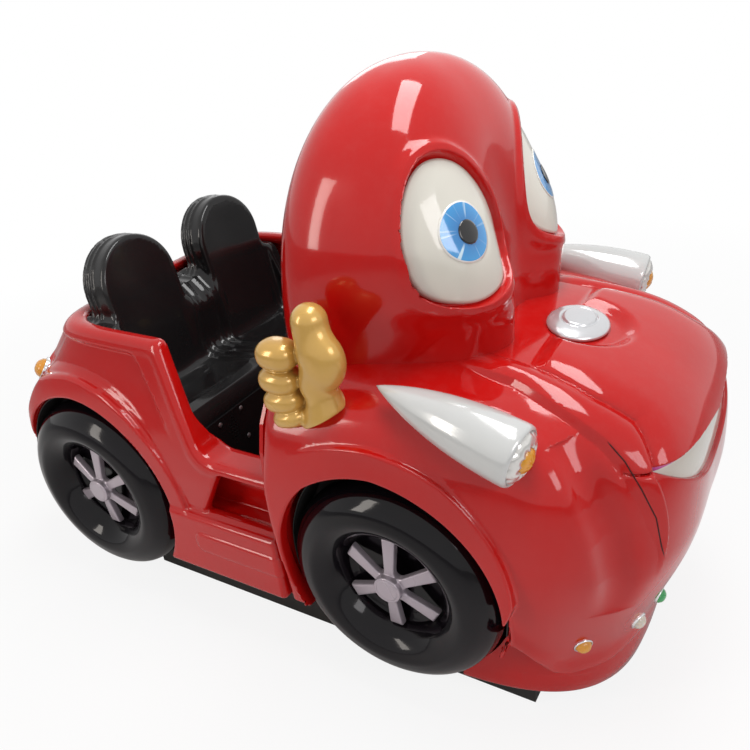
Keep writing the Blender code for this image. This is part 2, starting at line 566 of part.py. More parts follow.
piece("speaker", turned(((0, 0), (0, SPEAKER_R), (0.008, SPEAKER_R), (0.030, SPEAKER_R * 0.45), (0.042, SPEAKER_R * 0.45), (0.042, 0)),
                        (SEAT_FRONT, SPEAKER_Y, SPEAKER_Z), (-1, 0, 0), 24), BLACK)

# ---------------------------------------------------------------- dashboard and controls
dashboard = piece("dashboard", box(DASH_X, DASH_X + DASH_T, -FRONT_HALF - 0.03, FRONT_HALF + 0.03, FLOOR_TOP + FIT, 0.80), RED, smooth=False)
keep_inside(dashboard, front_inside)
cut(dashboard,
    tool("start_bore", rod((DASH_X - 0.05, START_Y, START_Z), (DASH_X + 0.05, START_Y, START_Z), START_R + FIT)),
    tool("cash_opening", box(DASH_X - 0.05, DASH_X + 0.05, DOOR_Y0 + 0.012, DOOR_Y1 - 0.010, DOOR_Z0 + 0.010, DOOR_Z1 - 0.010)))

lean_dir = Vector((-math.cos(math.radians(30)), 0, math.sin(math.radians(30))))
dash_face = DASH_X - FIT
column_top = Vector((-0.010, COLUMN_Y, 0.600))
column_low = Vector((column_top.x - 0.080 * lean_dir.z, COLUMN_Y, column_top.z + 0.080 * lean_dir.x))
piece("steering_column", prism(((dash_face, column_low.z - 0.060), (dash_face, column_top.z + 0.008), (column_top.x, column_top.z),
                                (column_low.x, column_low.z)), 'Y', COLUMN_Y - COLUMN_HALF, COLUMN_Y + COLUMN_HALF), BLACK, smooth=False)
boss = (column_top + column_low) / 2 + lean_dir * FIT
hub_end = boss + lean_dir * (WHEEL_REACH + 0.006)
wheel = piece("steering_wheel", rod(boss, hub_end, 0.024, segments=24), BLACK)
ring = bmesh.new()
rim_centre = boss + lean_dir * WHEEL_REACH
m = Matrix.Translation(rim_centre) @ along(lean_dir)
loops = []
for i in range(24):
    a = 2 * math.pi * i / 24
    loops.append([ring.verts.new(m @ Vector(((WHEEL_RIM_R + WHEEL_RIM_T * math.cos(q)) * math.cos(a),
                                             (WHEEL_RIM_R + WHEEL_RIM_T * math.cos(q)) * math.sin(a), WHEEL_RIM_T * math.sin(q))))
                  for q in (2 * math.pi * k / 6 for k in range(6))])
for a, b in zip(loops, loops[1:] + loops[:1]):
    for k in range(6):
        ring.faces.new((a[k], a[(k + 1) % 6], b[(k + 1) % 6], b[k]))
weld(wheel, tool("wheel_rim", ring))
side_dir = Vector((0, 1, 0))
up_dir = lean_dir.cross(side_dir) * -1
for i, angle in enumerate((0, 180, 270)):
    d = side_dir * math.cos(math.radians(angle)) + up_dir * math.sin(math.radians(angle))
    bar = rod(rim_centre - lean_dir * 0.003 + d * 0.015, rim_centre - lean_dir * 0.003 + d * WHEEL_RIM_R, 0.007, segments=10)
    weld(wheel, tool(f"wheel_spoke_{i}", bar))
cut(wheel, tool("horn_bore", rod(hub_end - lean_dir * 0.018, hub_end + lean_dir * 0.02, HORN_R + FIT)))
origin_at(wheel, boss)
horn_face = hub_end + lean_dir * 0.006
horn = piece("horn_button", turned(((0, 0), (0, HORN_R), (0.017, HORN_R), (0.0195, HORN_R * 0.7), (0.0195, 0)),
                                   hub_end - lean_dir * 0.0125, lean_dir, 20), BRASS_YELLOW)
origin_at(horn, hub_end)

start = piece("start_button", turned(((0, 0), (0, START_R), (0.030, START_R), (0.034, START_R * 0.75), (0.034, 0)),
                                     (DASH_X + DASH_T + 0.010, START_Y, START_Z), (-1, 0, 0), 24), GREEN)
origin_at(start, (DASH_X, START_Y, START_Z))

coin = piece("coin_acceptor", box(dash_face - COIN_T, dash_face, COIN_Y - COIN_W / 2, COIN_Y + COIN_W / 2,
                                  COIN_Z - COIN_H / 2, COIN_Z + COIN_H / 2), CHROME, smooth=False)
return_z = COIN_Z - 0.035
cut(coin, tool("coin_slot", box(dash_face - COIN_T - 0.01, dash_face - 0.004, COIN_Y - COIN_SLOT / 2, COIN_Y + COIN_SLOT / 2, COIN_Z + 0.005, COIN_Z + 0.036)),
    tool("return_bore", rod((dash_face - 0.05, COIN_Y, return_z), (dash_face - 0.0012, COIN_Y, return_z), RETURN_R + FIT)))
reject = piece("coin_return_button", turned(((0, 0), (0, RETURN_R), (0.010, RETURN_R), (0.012, RETURN_R * 0.7), (0.012, 0)),
                                            (dash_face - 0.0055, COIN_Y, return_z), (-1, 0, 0), 20), BRASS_YELLOW)
origin_at(reject, (dash_face - COIN_T, COIN_Y, return_z))

door = piece("cash_door", box(dash_face - DOOR_T, dash_face, DOOR_Y0 + FIT, DOOR_Y1, DOOR_Z0, DOOR_Z1), CHROME, smooth=False)
origin_at(door, (dash_face - DOOR_T, DOOR_Y0, (DOOR_Z0 + DOOR_Z1) / 2))
dash_back = DASH_X + DASH_T + FIT
cash = piece("cash_box", box(dash_back, dash_back + CASH_DEEP, DOOR_Y0 + 0.006, DOOR_Y1 - 0.004, DOOR_Z0 + 0.004, DOOR_Z1 - 0.030), STEEL, smooth=False)
cut(cash, tool("cash_well", box(dash_back + CASH_WALL, dash_back + CASH_DEEP - CASH_WALL, DOOR_Y0 + 0.006 + CASH_WALL,
                                DOOR_Y1 - 0.004 - CASH_WALL, DOOR_Z0 + 0.004 + CASH_WALL, DOOR_Z1)))

# ---------------------------------------------------------------- wheels
BEAD_R = DISC_R + FIT
SIDE = TYRE_R - BEAD_R
TYRE_PROFILE = [(w * TYRE_W, BEAD_R + f * SIDE) for w, f in (
    (0.03, 0.0), (0.0, 0.37), (0.02, 0.77), (0.16, 0.95), (0.37, 1.0), (0.67, 1.0),
    (0.88, 0.92), (0.98, 0.70), (1.0, 0.40), (0.92, 0.12), (0.67, 0.0))]
for end, x in (("front", FRONT_AXLE_X), ("rear", REAR_AXLE_X)):
    for word, side in (("right", -1), ("left", 1)):
        out = (0, side, 0)
        piece(f"tyre_{end}_{word}", turned(TYRE_PROFILE, (x, side * TYRE_IN, AXLE_Z), out, 26), TYRE_BLACK)
        disc = piece(f"wheel_disc_{end}_{word}", turned((
            (0, 0), (0, DISC_R), (0.042, DISC_R), (0.042, DISC_R - 0.015), (0.012, DISC_R - 0.019), (0.012, 0.028), (0.060, 0.028),
            (HUB_FACE - DISC_BACK - 0.004, 0.025), (HUB_FACE - DISC_BACK, 0.018), (HUB_FACE - DISC_BACK, 0)),
            (x, side * DISC_BACK, AXLE_Z), out, 26), SILVER)
        lo, hi = sorted((side * (DISC_BACK + 0.006), side * (DISC_BACK + 0.046)))
        for k in range(3):
            a = math.pi * k / 3 + math.pi / 6
            bar = box(0.017 - DISC_R, DISC_R - 0.017, lo, hi, -0.012, 0.012)
            turn = Matrix.Translation((x, 0, AXLE_Z)) @ Matrix.Rotation(a, 4, 'Y')
            bmesh.ops.transform(bar, matrix=turn, verts=bar.verts)
            weld(disc, tool(f"spokes_{end}_{word}_{k}", bar))

# ---------------------------------------------------------------- lamps, eyes, hands, badge, mouth
def surface_x(point_of, low, high, y):
    """The x of a surface curve where its y reaches a value, by halving the parameter span."""
    for _ in range(40):
        mid = (low + high) / 2
        if point_of(mid).y < y:
            low = mid
        else:
            high = mid
    return point_of(low).x


def front_x(y, z):
    b = 0.4 * (z - FRONT_LOW) / (FRONT_SHOULDER - FRONT_LOW)
    if z > FRONT_SHOULDER:
        rise = ((z - FRONT_SHOULDER) / FRONT_CROWN) ** 1.8
        b = 0.4 + 0.6 * math.asin(min(rise, 1.0)) / (math.pi / 2)
    return surface_x(lambda t: front_point(t, b), -0.9, 0.9, y)


for word, side in (("right", -1), ("left", 1)):
    end = Vector((POD_END.x, -side * POD_END.y, POD_END.z))
    back = Vector((POD_AXIS.x, -side * POD_AXIS.y, POD_AXIS.z))
    shape = [(0, 0), (0, POD_R * 0.96), (0.006, POD_R)]
    shape += [(POD_LEN * f, POD_R * (1 - f ** 2.1) ** 0.9) for f in (0.25, 0.45, 0.62, 0.77, 0.90)]
    shape += [(POD_LEN, 0)]
    pod = piece(f"headlight_pod_{word}", turned(shape, end, back, 20), PEARL)
    cut(pod, front_grown)
    lamp = piece(f"headlamp_{word}", turned(((0, 0), (0, LAMP_R), (0.008, LAMP_R), (0.010, LAMP_R * 0.86), (0.020, LAMP_R * 0.70),
                                             (LAMP_DOME - 0.003, LAMP_R * 0.35), (LAMP_DOME, 0)), end - back * FIT, -back, 24), AMBER)
    cut(lamp, front_grown)

    rise = Vector((-0.075, 0, 0.253)).normalized()
    look = Vector((0.904, side * 0.329, 0.274)).normalized()
    rise = (rise - look * rise.dot(look)).normalized()
    across = look.cross(rise)
    ex = surface_x(lambda t: head_point(t, EYE_Z), -0.35, 0.0, -EYE_Y)
    turn = Matrix((across, rise, look)).transposed().to_4x4()
    eye = piece(f"eye_{word}", ball_into(bmesh.new(), (ex, side * EYE_Y, EYE_Z), (EYE_WIDE, EYE_LONG, EYE_DEEP), 18, 8, turn), WHITE)
    cut(eye, head_grown, front_grown)

    tail_x = TUB_X1 - 0.498
    tail = piece(f"tail_lamp_{word}", ball_into(bmesh.new(), (tail_x, side * TAIL_Y, TAIL_Z), (TAIL_R * 1.2, TAIL_R, TAIL_R), 14, 6), AMBER)
    cut(tail, bpy.data.objects["tub_grown"])

    for i, (cy, mat) in enumerate(zip(CHIN_Y, (AMBER, CLEAR, GREEN))):
        cx = front_x(-cy, CHIN_Z)
        dome = piece(f"chin_lamp_{word}_{i + 1}", ball_into(bmesh.new(), (cx, side * cy, CHIN_Z), (CHIN_R,) * 3, 12, 6), mat)
        cut(dome, front_grown)

    y = side * HAND_Y
    hand = bmesh.new()
    ball_into(hand, (0.150, y, 0.745), (0.050, 0.036, 0.062))
    ball_into(hand, (0.142, y, 0.800), (0.029, 0.028, 0.050))
    ball_into(hand, (0.140, y, 0.848), (0.027, 0.026, 0.030))
    for k, (fx, fz, fr) in enumerate(((0.098, 0.792, 0.023), (0.090, 0.756, 0.023), (0.096, 0.722, 0.021), (0.106, 0.692, 0.018))):
        ball_into(hand, (fx - 0.016, y + side * 0.010, fz), (fr + 0.004, fr + 0.004, fr))
        ball_into(hand, (fx + 0.012, y + side * 0.014, fz), (fr + 0.012, fr, fr))
    rod_into(hand, (0.160, y, 0.600), (0.152, y, 0.715), 0.050, 0.036, 16)
    glove = piece(f"hand_{word}", hand, GOLD)
    mesh_mod = glove.modifiers.new("skin", 'REMESH')
    mesh_mod.mode = 'VOXEL'
    mesh_mod.voxel_size = 0.008
    fewer = glove.modifiers.new("fewer", 'DECIMATE')
    fewer.ratio = 0.16
    cut(glove, front_grown)

top_z = FRONT_SHOULDER + FRONT_CROWN
badge_z = min(top_z, 0.737)
badge = piece("badge", ball_into(bmesh.new(), (BADGE_X, 0, badge_z - 0.004), (BADGE_A, BADGE_B, BADGE_C), 28, 8,
                                 Matrix.Rotation(math.radians(8), 4, 'Y')), SILVER)
cut(badge, front_grown)

teeth_rows = []
for lift in (-MOUTH_SHEET, MOUTH_SHEET):
    strip = []
    for i in range(13):
        f = -1 + 2 * i / 12
        low = MOUTH_LOW + (MOUTH_CORNER - MOUTH_LOW - 0.012) * f * f
        for z in (low, MOUTH_TOP + (MOUTH_CORNER - MOUTH_TOP) * f * f):
            x = front_x(f * MOUTH_HALF, z)
            strip.append(Vector((x + lift / 0.80, f * MOUTH_HALF, z)))
    teeth_rows.append(strip)
tm = bmesh.new()
inner = [tm.verts.new(p) for p in teeth_rows[0]]
outer = [tm.verts.new(p) for p in teeth_rows[1]]
for i in range(12):
    a, b, c, d = 2 * i, 2 * i + 1, 2 * i + 3, 2 * i + 2
    tm.faces.new((inner[a], inner[b], inner[c], inner[d]))
    tm.faces.new((outer[a], outer[d], outer[c], outer[b]))
    tm.faces.new((inner[a], inner[d], outer[d], outer[a]))
    tm.faces.new((inner[b], outer[b], outer[c], inner[c]))
tm.faces.new((inner[0], outer[0], outer[1], inner[1]))
tm.faces.new((inner[24], inner[25], outer[25], outer[24]))
mouth = piece("mouth_insert", tm, WHITE, smooth=False)
cut(mouth, front_grown)
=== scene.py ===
"""Looks of the kiddie ride car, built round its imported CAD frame."""
import math

import bmesh
import bpy
import numpy as np
from mathutils import Matrix, Vector


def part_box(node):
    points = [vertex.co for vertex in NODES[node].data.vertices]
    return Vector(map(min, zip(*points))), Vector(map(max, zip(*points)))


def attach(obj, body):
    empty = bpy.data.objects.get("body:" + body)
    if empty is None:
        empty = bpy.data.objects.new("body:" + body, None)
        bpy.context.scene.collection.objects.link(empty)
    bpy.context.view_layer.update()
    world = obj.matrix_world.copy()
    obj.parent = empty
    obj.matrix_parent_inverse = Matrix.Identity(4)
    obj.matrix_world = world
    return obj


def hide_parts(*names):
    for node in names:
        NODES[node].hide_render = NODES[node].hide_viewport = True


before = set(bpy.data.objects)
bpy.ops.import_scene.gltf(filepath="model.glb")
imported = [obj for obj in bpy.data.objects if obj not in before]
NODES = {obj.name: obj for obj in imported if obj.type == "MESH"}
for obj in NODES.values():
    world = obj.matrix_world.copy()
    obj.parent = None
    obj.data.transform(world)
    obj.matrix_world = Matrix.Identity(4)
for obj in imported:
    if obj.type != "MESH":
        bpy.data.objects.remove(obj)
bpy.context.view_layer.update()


# ---------------------------------------------------------------- sizes shared by the pieces, in metres
BASE_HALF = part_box("base_skirt")[1].y
AXLES = {"front": 0.280, "rear": -0.543}
AXLE_Z, TYRE_R = 0.293, 0.204
FAT_TYRE = TYRE_R + 0.024       # the swollen tyres fill their arches
# angles round the axle in degrees, and the radius of the arch at each
ARCH_HOLE = {
    "front": ((0, 50, 90, 125, 150, 180, 230, 270, 310, 360),
              (0.246, 0.260, 0.274, 0.266, 0.247, 0.2345, 0.2345, 0.246, 0.246, 0.246)),
    "rear": ((0, 90, 115, 135, 155, 180, 230, 270, 310, 360),
             (0.256, 0.262, 0.256, 0.246, 0.2365, 0.2335, 0.2335, 0.246, 0.250, 0.256)),
}
SHELL = 0.012                   # wall of the fibreglass body
NOSE_X = 0.25                   # middle of the angles round the nose and of the chin's curve
CHIN_LONG, CHIN_HALF, CHIN_POWER = 0.472, 0.347, 3.4
SOCKET_OUT, SOCKET_IN, SOCKET_TALL = 0.113, 0.096, 0.129      # half sizes of an eye socket
BULGE_OUT, BULGE_IN, BULGE_TALL = 0.116, 0.099, 0.132         # and of the dome of its white
EYE_EGG = 0.20                  # how much narrower the eye is at its top
HEAD_X, HEAD_LONG, HEAD_HALF, HEAD_LEAN = 0.190, 0.200, 0.324, 0.005
HEAD_FOOT, HEAD_TALL = 0.78, 0.446


# ---------------------------------------------------------------- smooth blending of distances
def ease(a, b, v):
    k = np.clip((v - a) / (b - a), 0, 1)
    return k * k * (3 - 2 * k)


def union(a, b, k):
    h = np.maximum(k - np.abs(a - b), 0) / k
    return np.minimum(a, b) - h * h * k * 0.25


def both(a, b, k):
    return -union(-a, -b, k)


def bell(d, width):
    return np.exp(-(d / width) ** 2)


def along(points, x, y, z):
    """Distance to a polyline and how far along it, 0 to 1."""
    best = np.full(np.shape(x), 9.0)
    part = np.zeros(np.shape(x))
    pts = np.array(points, float)
    legs = np.linalg.norm(np.diff(pts, axis=0), axis=1)
    start = np.concatenate(([0], np.cumsum(legs)))
    for i, leg in enumerate(legs):
        a, d = pts[i], (pts[i + 1] - pts[i]) / leg
        px, py, pz = x - a[0], y - a[1], z - a[2]
        t = np.clip(px * d[0] + py * d[1] + pz * d[2], 0, leg)
        gap = np.sqrt((px - t * d[0]) ** 2 + (py - t * d[1]) ** 2 + (pz - t * d[2]) ** 2)
        near = gap < best
        best = np.where(near, gap, best)
        part = np.where(near, (start[i] + t) / start[-1], part)
    return best, part


def metres(raw, x, y, z, step=1e-3):
    """Turns a raw level function into a distance near its surface."""
    gx = raw(x + step, y, z) - raw(x - step, y, z)
    gy = raw(x, y + step, z) - raw(x, y - step, z)
    gz = raw(x, y, z + step) - raw(x, y, z - step)
    slope = np.sqrt(gx * gx + gy * gy + gz * gz) / (2 * step)
    return raw(x, y, z) / np.maximum(slope, 1.0)


# ---------------------------------------------------------------- mesh from a distance function
def net(field, low, high, cell):
    """Vertices and quads of the zero surface of field inside a box."""
    axes = [np.arange(a, b + cell, cell) for a, b in zip(low, high)]
    grid = np.meshgrid(*axes, indexing="ij")
    value = field(*grid)
    sign = value < 0
    shape = tuple(n - 1 for n in value.shape)
    total = np.zeros(shape)
    place = [np.zeros(shape) for _ in range(3)]
    corner = [(i, j, k) for i in (0, 1) for j in (0, 1) for k in (0, 1)]

    def part(a, c):
        return a[c[0]:c[0] + shape[0], c[1]:c[1] + shape[1], c[2]:c[2] + shape[2]]

    for a in corner:
        for axis in range(3):
            if a[axis]:
                continue
            b = tuple(1 if i == axis else a[i] for i in range(3))
            va, vb = part(value, a), part(value, b)
            cross = (va < 0) != (vb < 0)
            t = np.where(cross, va / np.where(cross, va - vb, 1), 0)
            total += cross
            for i in range(3):
                place[i] += np.where(cross, a[i] + (t if i == axis else 0), 0)
    used = total > 0
    number = np.full(shape, -1)
    number[used] = np.arange(used.sum())
    where = np.argwhere(used)
    points = np.stack([axes[i][where[:, i]] + cell * place[i][used] / total[used] for i in range(3)], -1)
    quads = []
    for axis in range(3):
        u, v = (axis + 1) % 3, (axis + 2) % 3
        lo = [slice(1, -1)] * 3
        lo[axis] = slice(0, -1)
        hi = [slice(1, -1)] * 3
        hi[axis] = slice(1, None)
        a, b = sign[tuple(lo)], sign[tuple(hi)]
        at = np.argwhere(a != b)
        at[:, u] += 1
        at[:, v] += 1
        ids = []
        for du, dv in ((-1, -1), (0, -1), (0, 0), (-1, 0)):
            c = at.copy()
            c[:, u] += du
            c[:, v] += dv
            ids.append(number[c[:, 0], c[:, 1], c[:, 2]])
        q = np.stack(ids, -1)
        out = sign[at[:, 0], at[:, 1], at[:, 2]]
        q[~out] = q[~out][:, ::-1]
        quads.append(q)
    return points, np.concatenate(quads).tolist()


def slope_of(field, p, step):
    x, y, z = p.T
    return np.stack([
        field(x + step, y, z) - field(x - step, y, z),
        field(x, y + step, z) - field(x, y - step, z),
        field(x, y, z + step) - field(x, y, z - step)], -1) / (2 * step)


def settle(field, p, reach, rounds=3):
    for _ in range(rounds):
        g = slope_of(field, p, 4e-4)
        gap = field(*p.T)
        size = np.maximum((g * g).sum(1), 0.05)
        p = p - np.clip(gap / size, -reach, reach)[:, None] * g
    return p


def unit(v):
    return v / np.maximum(np.linalg.norm(v, axis=-1, keepdims=True), 1e-9)


def placed(name, data):
    """A new object for a mesh, lamp or camera, linked to the scene."""
    thing = bpy.data.objects.new(name, data)
    bpy.context.scene.collection.objects.link(thing)
    return thing


def smooth_piece(name, bm, sharp=None):
    """A smooth piece from a bmesh; edges that turn more than sharp degrees stay crisp."""
    mesh = bpy.data.meshes.new(name)
    bm.to_mesh(mesh)
    bm.free()
    mesh.shade_smooth()
    if sharp:
        mesh.set_sharp_from_angle(angle=math.radians(sharp))
    return placed(name, mesh)


def skin_rows(bm, rows):
    """Faces round and between closed rows of points, with a cap on each end."""
    count = len(rows[0])
    for a, b in zip(rows, rows[1:]):
        for i in range(count):
            j = (i + 1) % count
            bm.faces.new((a[i], a[j], b[j], b[i]))
    bm.faces.new(rows[0][::-1])
    bm.faces.new(rows[-1])
    bmesh.ops.recalc_face_normals(bm, faces=bm.faces)


def moulded(name, field, low, high, cell, turn=0.30, fine=1):
    """A closed mesh of field, refined where it bends, with the field's own normals."""
    points, quads = net(field, low, high, cell)
    points = settle(field, points, cell * 0.5)
    for _ in range(fine):
        normal = unit(slope_of(field, points, 5e-4))
        mesh = bpy.data.meshes.new(name)
        mesh.from_pydata(points.tolist(), [], quads)
        bm = bmesh.new()
        bm.from_mesh(mesh)
        bpy.data.meshes.remove(mesh)
        bm.verts.ensure_lookup_table()
        edges = [e for e in bm.edges if normal[e.verts[0].index] @ normal[e.verts[1].index] < math.cos(turn)]
        bmesh.ops.subdivide_edges(bm, edges=edges, cuts=1, use_grid_fill=True)
        bmesh.ops.triangulate(bm, faces=[f for f in bm.faces if len(f.verts) > 4])
        points = np.array([v.co for v in bm.verts])
        bm.verts.index_update()
        quads = [[v.index for v in f.verts] for f in bm.faces]
        bm.free()
        points = settle(field, points, cell * 0.3, 2)
    normal = unit(slope_of(field, points, 5e-4))
    mesh = bpy.data.meshes.new(name)
    mesh.from_pydata(points.tolist(), [], quads)
    mesh.shade_smooth()
    mesh.normals_split_custom_set_from_vertices(normal.tolist())
    return placed(name, mesh)


# ---------------------------------------------------------------- front of the body
NOSE_LINE = [(0.484, -0.238, 0.718), (0.563, -0.262, 0.698), (0.623, -0.275, 0.676), (0.659, -0.279, 0.657),
             (0.690, -0.286, 0.631), (0.720, -0.291, 0.588), (0.746, -0.281, 0.528), (0.760, -0.264, 0.440)]
VALLEY = [(0.600, -0.312, 0.668), (0.636, -0.330, 0.625), (0.668, -0.338, 0.570), (0.695, -0.334, 0.500),
          (0.706, -0.324, 0.410), (0.700, -0.318, 0.300)]
BUMPER_LOBE = [(0.585, -0.370, 0.560), (0.610, -0.385, 0.450), (0.600, -0.375, 0.330), (0.585, -0.350, 0.210)]


def hood_raw(x, y, z):
    k = ease(0.10, 0.44, z)
    length, half, power = 0.735 + 0.0755 * k, 0.405 + 0.03 * k, 3.3 + 0.4 * k
    g = ((np.maximum(x + 0.015, 0) / length) ** power + (np.abs(y) / half) ** power) ** (1 / power)
    top = np.maximum(z - 0.44, 0) / 0.305
    return (g ** 3.6 + top ** 3.6 + 1e-12) ** (1 / 3.6) - 1


def hood_plain(x, y, z):
    return metres(hood_raw, x, y, z)


def nose_turn(x, z):
    """Angle round the nose seen from the side, in degrees."""
    return np.degrees(np.arctan2(z - 0.35, x - NOSE_X))


def seam_half(x, z):
    """Half width of the bonnet at the seam outside the rolled panel."""
    return np.interp(nose_turn(x, z), (10, 19.7, 26.9, 32.6, 36.9, 41.2, 48, 57.5, 70),
                     (0.264, 0.281, 0.291, 0.286, 0.279, 0.275, 0.262, 0.238, 0.232))


def tongue_edge(x, z):
    """Half width of the raised bonnet tongue, by the angle round the nose."""
    return np.interp(nose_turn(x, z), (0, 27.9, 30.5, 33.3, 35.9, 43.2, 49.4, 59.4, 75),
                     (0.262, 0.262, 0.248, 0.230, 0.216, 0.214, 0.202, 0.186, 0.180))


def smile_lines(y):
    """Heights of the lower and the upper edge of the smile."""
    s = np.minimum(np.abs(y) / 0.262, 1.0)
    return 0.498 + 0.108 * s ** 1.9, 0.592 + 0.018 * (1 - (1 - s) ** 2)


def overhang(x, y):
    """Height of the bumper's lower edge, by the angle round the nose."""
    turn = np.degrees(np.arctan2(np.abs(y), x - NOSE_X))
    return np.interp(turn, (0, 22, 30, 41, 44, 51, 55, 70),
                     (0.163, 0.158, 0.133, 0.128, 0.138, 0.206, 0.233, 0.262))


def chin_plan(x, y):
    """Below zero inside the outline of the chin, seen from above."""
    ahead = (np.maximum(x - NOSE_X, 0) / CHIN_LONG) ** CHIN_POWER
    aside = (np.abs(y) / CHIN_HALF) ** CHIN_POWER
    return ((ahead + aside + 1e-12) ** (1 / CHIN_POWER) - 1) * CHIN_HALF


def front_skin(x, y, z):
    w = -np.abs(y)
    d = hood_plain(x, w, z)
    # bonnet tongue, standing proud in front of the badge
    half = tongue_edge(x, z)
    edge = half + w
    disc = 0.078 - np.sqrt((x - 0.532) ** 2 + w * w)
    rear = np.minimum(x - 0.500, -disc)
    over_smile = ease(-0.004, 0.006, z - smile_lines(y)[1])
    roll = np.sqrt(np.clip(1 - (1 - np.clip(edge / 0.055, 0, 1)) ** 2, 0, 1))
    raised = roll * ease(-0.010, 0.030, rear) * np.where(x > 0.60, over_smile, 1.0)
    d = d - 0.017 * raised
    # rolled panel between the tongue and the seam, and the drop outside the seam
    seam = seam_half(x, z)
    gate = ease(4, 20, nose_turn(x, z)) * ease(74, 60, nose_turn(x, z))
    d = d - 0.008 * np.sin(np.pi * np.clip(-edge / np.maximum(seam - half, 0.01), 0, 1)) * gate
    outside = -w - seam
    d = d + 0.012 * ease(-0.003, 0.005, outside) * ease(0.090, 0.010, outside) * gate
    # fender crown either side of the bonnet, its crease and the deep valley at the front corner
    gap, part = along(VALLEY, x, w, z)
    d = d + 0.040 * bell(gap, 0.030) * np.sin(np.pi * np.clip(part * 1.05, 0, 1)) ** 0.6
    gap, part = along(BUMPER_LOBE, x, w, z)
    d = d - 0.009 * bell(gap, 0.055)
    # swollen cheek beside the valley and full lower lip
    d = d - 0.010 * bell(x - 0.735, 0.06) * bell(w + 0.14, 0.13) * bell(z - 0.44, 0.07)
    # wheel arch lip
    dx, dz = x - AXLES["front"], z - AXLE_Z
    r = np.sqrt(dx * dx + dz * dz)
    turn = np.degrees(np.arctan2(dz, dx))
    lip = np.interp(turn, (-60, 5, 15, 40, 65, 90, 150), (0.240, 0.250, 0.276, 0.305, 0.330, 0.334, 0.334))
    slab = both(r - lip, np.abs(w) - 0.4235, 0.006)
    d = union(d, np.maximum(slab, 0.33 + w), 0.008)
    # the bumper overhangs a chin that steps in below it
    over = z - overhang(x, y)
    ledge = ease(0.42, 0.50, x) * ease(-0.002, 0.006, over)
    d = d - 0.006 * bell(np.maximum(over - 0.012, 0), 0.030) * ledge
    return both(d, -np.maximum(np.maximum(over, -chin_plan(x, y)), 0.44 - x), 0.006)


def smile_depth(x, y, z):
    """Above zero inside the hollow of the smile."""
    low, high = smile_lines(y)
    return np.minimum(np.minimum(z - low, high - z) * 0.9, x - 0.69)


def arch_hole(x, y, z, axle):
    """Below zero inside a wheel arch, which hugs the tyre behind the wheel."""
    dx, dz = x - AXLES[axle], z - AXLE_Z
    turn = np.degrees(np.arctan2(dz, dx)) % 360
    size = np.interp(turn, *ARCH_HOLE[axle])
    return both(np.sqrt(dx * dx + dz * dz) - size, BASE_HALF - 0.01 - np.abs(y), 0.004)


def front_field(x, y, z):
    skin = front_skin(x, y, z)
    inner = np.maximum(hood_plain(x, y, z) + SHELL + 0.018, skin + SHELL + 0.016)
    pocket = both(-smile_depth(x, y, z), -(skin + 0.011), 0.004)
    d = both(both(skin, -pocket, 0.005), -inner, 0.004)
    d = both(d, -arch_hole(x, y, z, "front"), 0.007)
    d = both(d, 0.100 - z, 0.006)
    # the rear edge stands on the door pillar and reaches further back behind the head
    scuttle = both(both(-0.013 - x, 0.640 - z, 0.01), np.abs(y) - 0.325, 0.01)
    keep = union(0.030 - x, scuttle, 0.01)
    d = both(d, keep, 0.012 + 0.033 * ease(0.47, 0.60, z))
    return both(d, -both(x - 0.19, z - 0.168, 0.004), 0.006)


# ---------------------------------------------------------------- head dome with its eye sockets
EYE_LOOK = {side: unit(np.array([0.900, side * 0.125, 0.400])) for side in (-1, 1)}
EYE_TILT = 0.065
EYE_AT = {side: np.array([0.366, side * 0.191, 0.962]) for side in (-1, 1)}


def eye_axes(side):
    look = EYE_LOOK[side]
    rise = np.array([-0.075, 0, 0.253])
    rise = unit(rise - look * (rise @ look))
    return np.cross(look, rise) * side, rise, look


def eye_ring(x, y, z, side):
    """Elliptic radius about an eye, 1 on the edge of the white."""
    across, rise, look = eye_axes(side)
    p = [c - o for c, o in zip((x, y, z), EYE_AT[side])]
    u = sum(a * b for a, b in zip(p, across))
    v = sum(a * b for a, b in zip(p, rise))
    u = u + EYE_TILT * v
    wide = np.where(u > 0, SOCKET_OUT, SOCKET_IN) * (1 - EYE_EGG * np.clip(v / SOCKET_TALL, -1, 1))
    return np.sqrt((u / wide) ** 2 + (v / SOCKET_TALL) ** 2)


def head_raw(x, y, z):
    """Dome with a boxy foot; k climbs from foot to top, s is its size at that height."""
    k = np.clip((z - HEAD_FOOT) / HEAD_TALL, 0, 1.2)
    s = np.maximum(1 - k ** 2.5, 1e-6) ** (1 / 2.2)
    power = 3.9 - 1.1 * k
    lobe = np.exp(-((np.abs(y) - 0.185) / 0.11) ** 4) * (1 - ease(0.78, 1.04, z))
    dent = 0.006 * bell(y, 0.055) * ease(1.12, 1.02, z) * ease(0.76, 0.86, z)
    u = (x - HEAD_X - HEAD_LEAN * k) / HEAD_LONG
    push = np.clip(u / np.maximum(s, 1e-3), 0, 1) * lobe * 0.062
    u = (x - push + dent * np.clip(u, 0, 1) - HEAD_X - HEAD_LEAN * k) / HEAD_LONG
    c = np.clip(u / np.maximum(s, 1e-3), -1, 1)
    half = HEAD_HALF * (1 - (0.40 - 0.32 * ease(0.72, 0.95, z)) * ((c + 1) / 2) ** 2)
    return (np.abs(u) ** power + (np.abs(y) / half) ** power) ** (1 / power) - s


def head_plain(x, y, z):
    return metres(head_raw, x, y, z, 2e-3)


def head_skin(x, y, z):
    w = -np.abs(y)
    d = head_plain(x, w, z)
    ring = eye_ring(x, w, z, -1)
    near = ease(0.20, 0.26, x)
    rim = 0.0070 * bell(np.maximum(np.abs(ring - 1.13) - 0.03, 0), 0.08)
    well = 0.012 * ease(1.085, 1.005, ring)
    return d + near * (well - rim)


